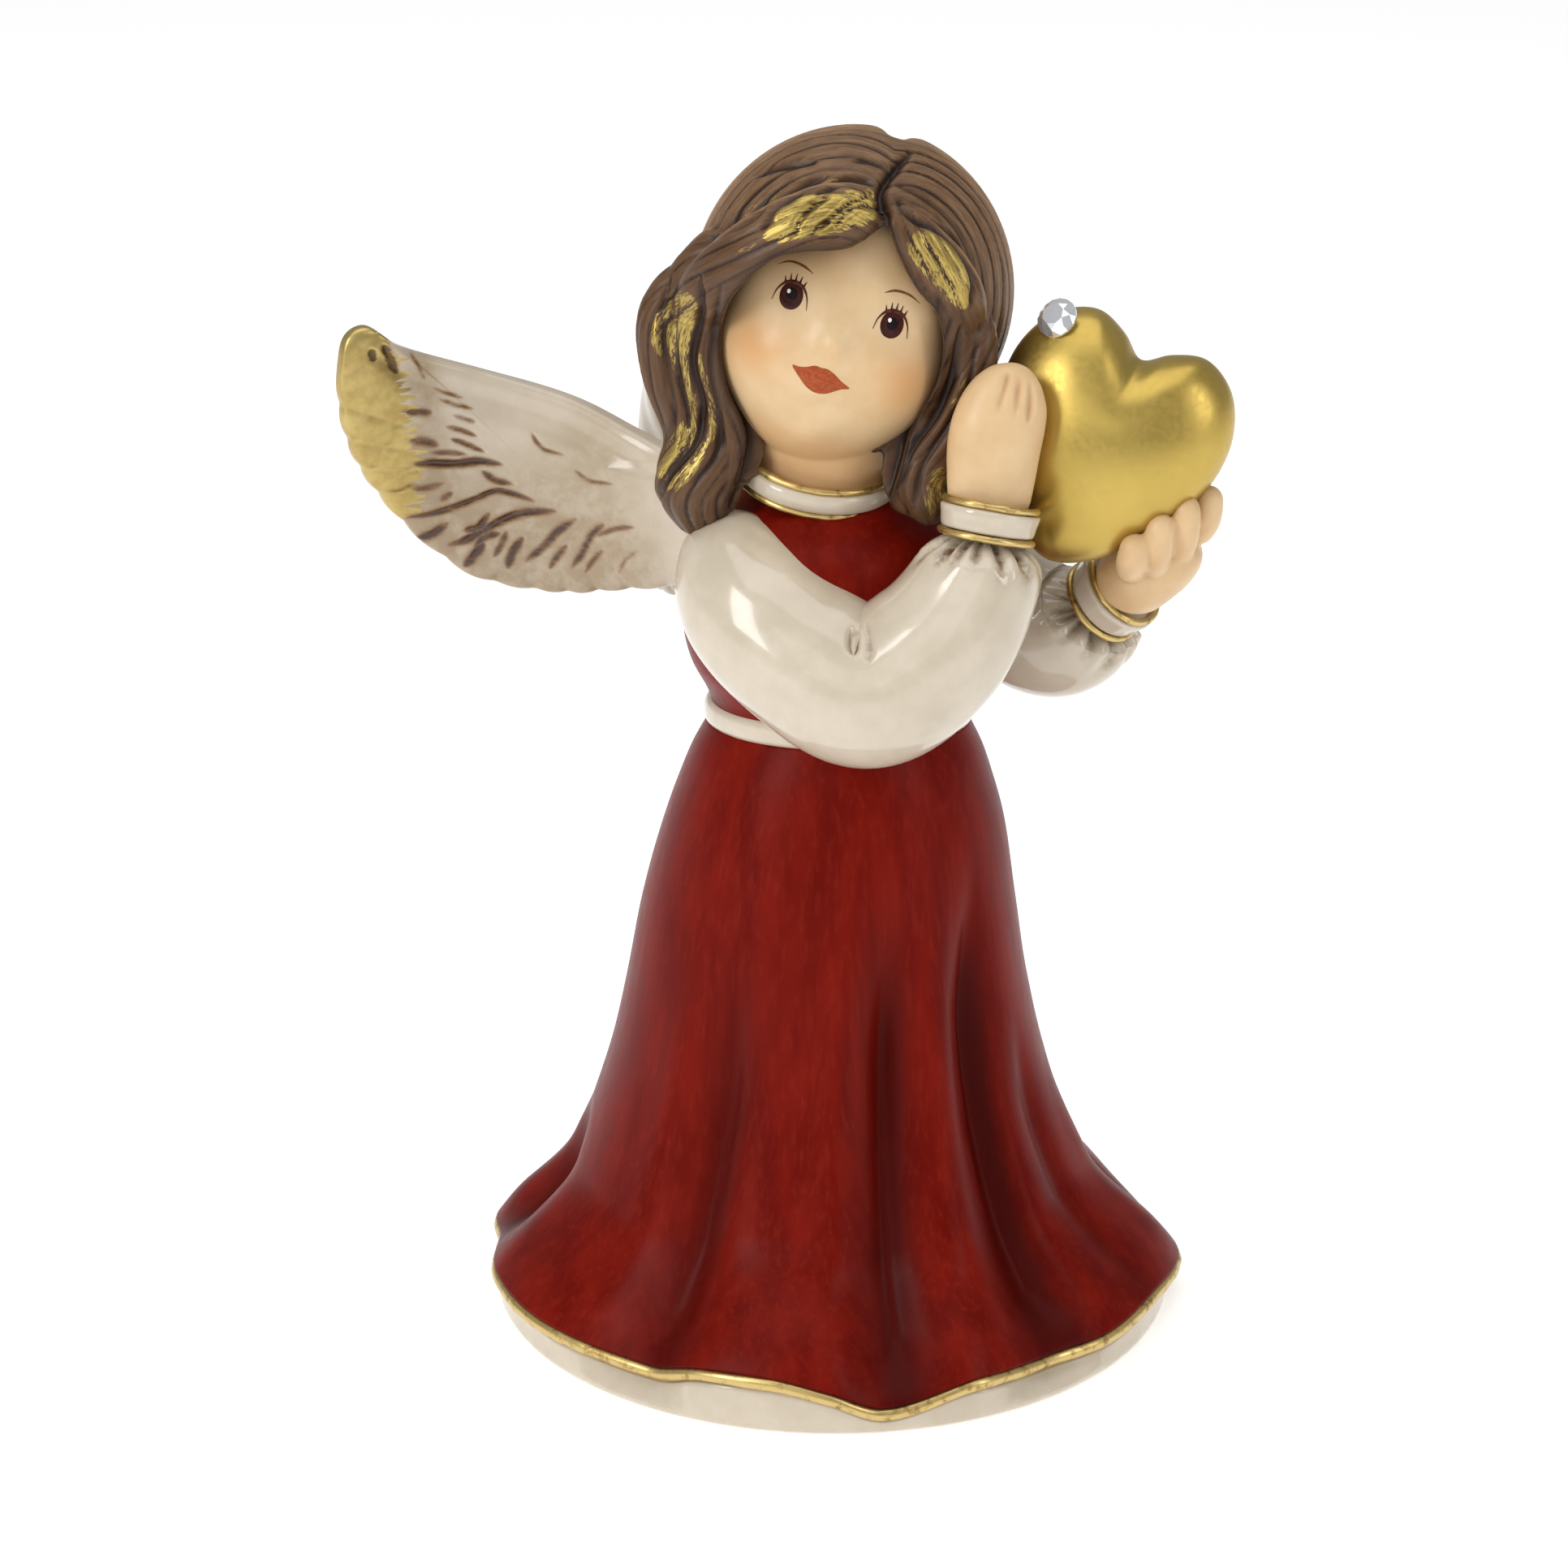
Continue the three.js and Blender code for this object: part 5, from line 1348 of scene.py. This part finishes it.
def make_hair_material():
    n = Nodes("brown_hair")
    lines = n.vector(n.value("across"), n.math("MULTIPLY", n.value("along"), 0.12))
    streak = n.noise(lines, 2600, 3, 0.6)
    base = n.blend(n.ramp(streak, 0.3, 0.7), (0.20, 0.105, 0.048), (0.37, 0.215, 0.105))
    hollow_shade = n.value("hollow_shade")
    # Painted shade: darker over the lower front hair and darkest in the creases and grooves, where the gold
    # is also left off.
    base = n.blend(n.math("MULTIPLY", n.value("shade"), 0.75), base, (0.06, 0.024, 0.01))
    base = n.blend(hollow_shade, base, (0.022, 0.009, 0.005))
    dry = n.noise(n.vector(n.value("across"), n.math("MULTIPLY", n.value("along"), 0.2)), 4200, 3, 0.7)
    paint = n.math("MULTIPLY", n.value("gold"), n.ramp(dry, 0.28, 0.62, 0.25, 1.25))
    mask = n.ramp(n.math("SUBTRACT", paint, n.math("MULTIPLY", hollow_shade, 0.75)), 0.28, 0.5)
    golden = n.blend(n.ramp(streak, 0.3, 0.7), (0.30, 0.205, 0.05), (0.55, 0.41, 0.125))
    n.set(Base_Color=n.blend(mask, base, golden), Metallic=n.math("MULTIPLY", mask, 0.85),
          Roughness=n.ramp(streak, 0.3, 0.8, 0.32, 0.45), Specular_IOR_Level=0.26)
    n.bump(streak, 0.35, 0.06)
    return n.material


def make_skin_material():
    n = Nodes("skin")
    mottle = n.noise(n.place, 220, 3, 0.6)
    base = n.blend(n.ramp(mottle, 0.3, 0.7), (0.72, 0.52, 0.295), (0.66, 0.46, 0.245))
    # Blush on the cheeks and the nose, and painted shade under the chin, in the finger grooves and in the
    # face's hollows.
    base = n.blend(n.math("MULTIPLY", n.value("blush_and_shade"), 0.62, clamp=True), base, (0.64, 0.29, 0.085))
    base = n.blend(n.math("MULTIPLY", n.value("crease_shade"), 0.6, clamp=True), base, (0.34, 0.15, 0.05))
    n.set(Base_Color=base, Roughness=n.ramp(mottle, 0.3, 0.7, 0.33, 0.4), Specular_IOR_Level=0.4,
          Subsurface_Weight=0.04, Subsurface_Scale=0.002)
    n.bump(n.noise(n.place, 1200, 2, 0.5), 0.12, 0.03)
    return n.material


def make_gilding():
    n = Nodes("gilding")
    brushed = n.noise(n.place, 700, 4, 0.65)
    base = n.blend(n.ramp(brushed, 0.3, 0.5), (0.30, 0.19, 0.06), (0.62, 0.46, 0.18))
    n.set(Base_Color=base, Metallic=0.9, Roughness=n.ramp(brushed, 0.3, 0.7, 0.4, 0.28))
    n.bump(brushed, 0.2, 0.05)
    return n.material


def make_satin_gold():
    n = Nodes("satin_gold")
    fine = n.noise(n.place, 1500, 4, 0.6)
    cloud = n.noise(n.place, 90, 3, 0.5)
    base = n.blend(n.ramp(cloud, 0.3, 0.7), (0.56, 0.40, 0.10), (0.48, 0.335, 0.078))
    # Painted shade in the hollows.
    base = n.blend(n.math("MULTIPLY", n.value("crease_shade"), 0.6, clamp=True), base, (0.22, 0.13, 0.04))
    n.set(Base_Color=base, Metallic=0.88, Roughness=n.ramp(fine, 0.3, 0.7, 0.31, 0.4))
    n.bump(fine, 0.2, 0.04)
    return n.material


def make_crystal_material():
    n = Nodes("crystal")
    cloud = n.noise(n.place, 700, 1, 0.4)
    n.set(Base_Color=n.blend(cloud, (0.93, 0.94, 0.97), (0.80, 0.83, 0.88)), Metallic=0.75,
          Roughness=n.ramp(cloud, 0.3, 0.7, 0.03, 0.07), Coat_Weight=1.0, Coat_Roughness=0.02)
    return n.material


def make_paint(name, dark, light, rough=0.22):
    n = Nodes(name)
    brushed = n.noise(n.place, 2500, 2, 0.5)
    n.set(Base_Color=n.blend(n.ramp(brushed, 0.35, 0.65), dark, light), Roughness=rough,
          Specular_IOR_Level=0.12)
    n.bump(brushed, 0.1, 0.02)
    return n.material


MATERIALS = {
    "ivory_glaze": make_ivory(),
    "wing": make_wing_material(),
    "red_gown": make_red(),
    "brown_hair": make_hair_material(),
    "skin": make_skin_material(),
    "gilding": make_gilding(),
    "satin_gold": make_satin_gold(),
    "crystal": make_crystal_material(),
    "iris": make_paint("iris", (0.035, 0.006, 0.004), (0.055, 0.010, 0.007), 0.35),
    "pupil": make_paint("pupil", (0.006, 0.003, 0.003), (0.010, 0.004, 0.004), 0.35),
    "glint": make_paint("glint", (0.8, 0.78, 0.76), (0.9, 0.88, 0.86), 0.2),
    "lash": make_paint("lash", (0.05, 0.012, 0.008), (0.09, 0.03, 0.018), 0.3),
    "brow": make_paint("brow", (0.16, 0.06, 0.02), (0.24, 0.10, 0.035), 0.3),
    "lips": make_paint("lips", (0.33, 0.062, 0.02), (0.40, 0.09, 0.03), 0.4),
    "lip_line": make_paint("lip_line", (0.33, 0.048, 0.018), (0.38, 0.062, 0.024), 0.4),
}


# ---- Setting ----

# Metres, degrees and watts. Each light: its name, place, size and power.
CAMERA_AIM = Vector((-0.0057, 0.0, 0.063))
CAMERA_ELEVATION = 22
CAMERA_DISTANCE = 0.65
CAMERA_LENS_MM = 130.2
LIGHT_AIM = Vector((0, 0, 0.08))
LIGHTS = [
    ("softbox_left", (-0.55, -0.45, 0.45), (0.22, 0.5), 2.5),
    ("softbox_right", (0.6, -0.35, 0.4), (0.2, 0.5), 1.1),
    ("overhead", (0, 0.0, 0.85), (0.8, 0.8), 2.9),
    ("front", (-0.15, -0.9, 0.55), (0.7, 0.5), 0.8),
]
FLOOR_HALF = 4
FLOOR_GLOW = 0.42
WORLD_GLOW = 0.36


def look_at(ob, aim):
    ob.rotation_euler = (aim - ob.location).to_track_quat("-Z", "Y").to_euler()


def make_camera():
    data = bpy.data.cameras.new("camera")
    data.sensor_width = 36.0
    data.lens = CAMERA_LENS_MM
    camera = add_object("camera", data)
    up = math.radians(CAMERA_ELEVATION)
    camera.location = CAMERA_AIM + CAMERA_DISTANCE * Vector((0, -math.cos(up), math.sin(up)))
    look_at(camera, CAMERA_AIM)
    bpy.context.scene.camera = camera


def make_light(name, place, size, power):
    data = bpy.data.lights.new(name, "AREA")
    data.shape = "RECTANGLE"
    data.size, data.size_y = size
    data.energy = power
    light = add_object(name, data)
    light.location = place
    look_at(light, LIGHT_AIM)


def make_studio():
    """The lights, a pale world and a white floor that glows a little, for the white ground."""
    bpy.context.scene.view_settings.view_transform = "Standard"
    mesh = bpy.data.meshes.new("floor")
    corners = [(x * FLOOR_HALF, y * FLOOR_HALF, 0) for x, y in ((-1, -1), (1, -1), (1, 1), (-1, 1))]
    mesh.from_pydata(corners, [], [(0, 1, 2, 3)])
    floor = add_object("floor", mesh)
    n = Nodes("paper")
    n.set(Base_Color=(0.93, 0.93, 0.93), Roughness=0.9, Specular_IOR_Level=0.1, Emission_Color=(1, 1, 1),
          Emission_Strength=FLOOR_GLOW)
    mesh.materials.append(n.material)
    world = bpy.data.worlds.new("studio")
    world.use_nodes = True
    background = world.node_tree.nodes["Background"]
    background.inputs["Color"].default_value = (1, 1, 1, 1)
    background.inputs["Strength"].default_value = WORLD_GLOW
    bpy.context.scene.world = world
    for light in LIGHTS:
        make_light(*light)


make_foot()
make_hem_bead()
make_skirt()
make_sash()
make_bodice()
make_collar()
make_head()
make_hair()
for arm_side in ("right", "left"):
    make_sleeve(arm_side)
    make_cuff(arm_side)
    make_hand(arm_side)
    make_wing(arm_side)
make_heart()
make_crystal()
make_camera()
make_studio()
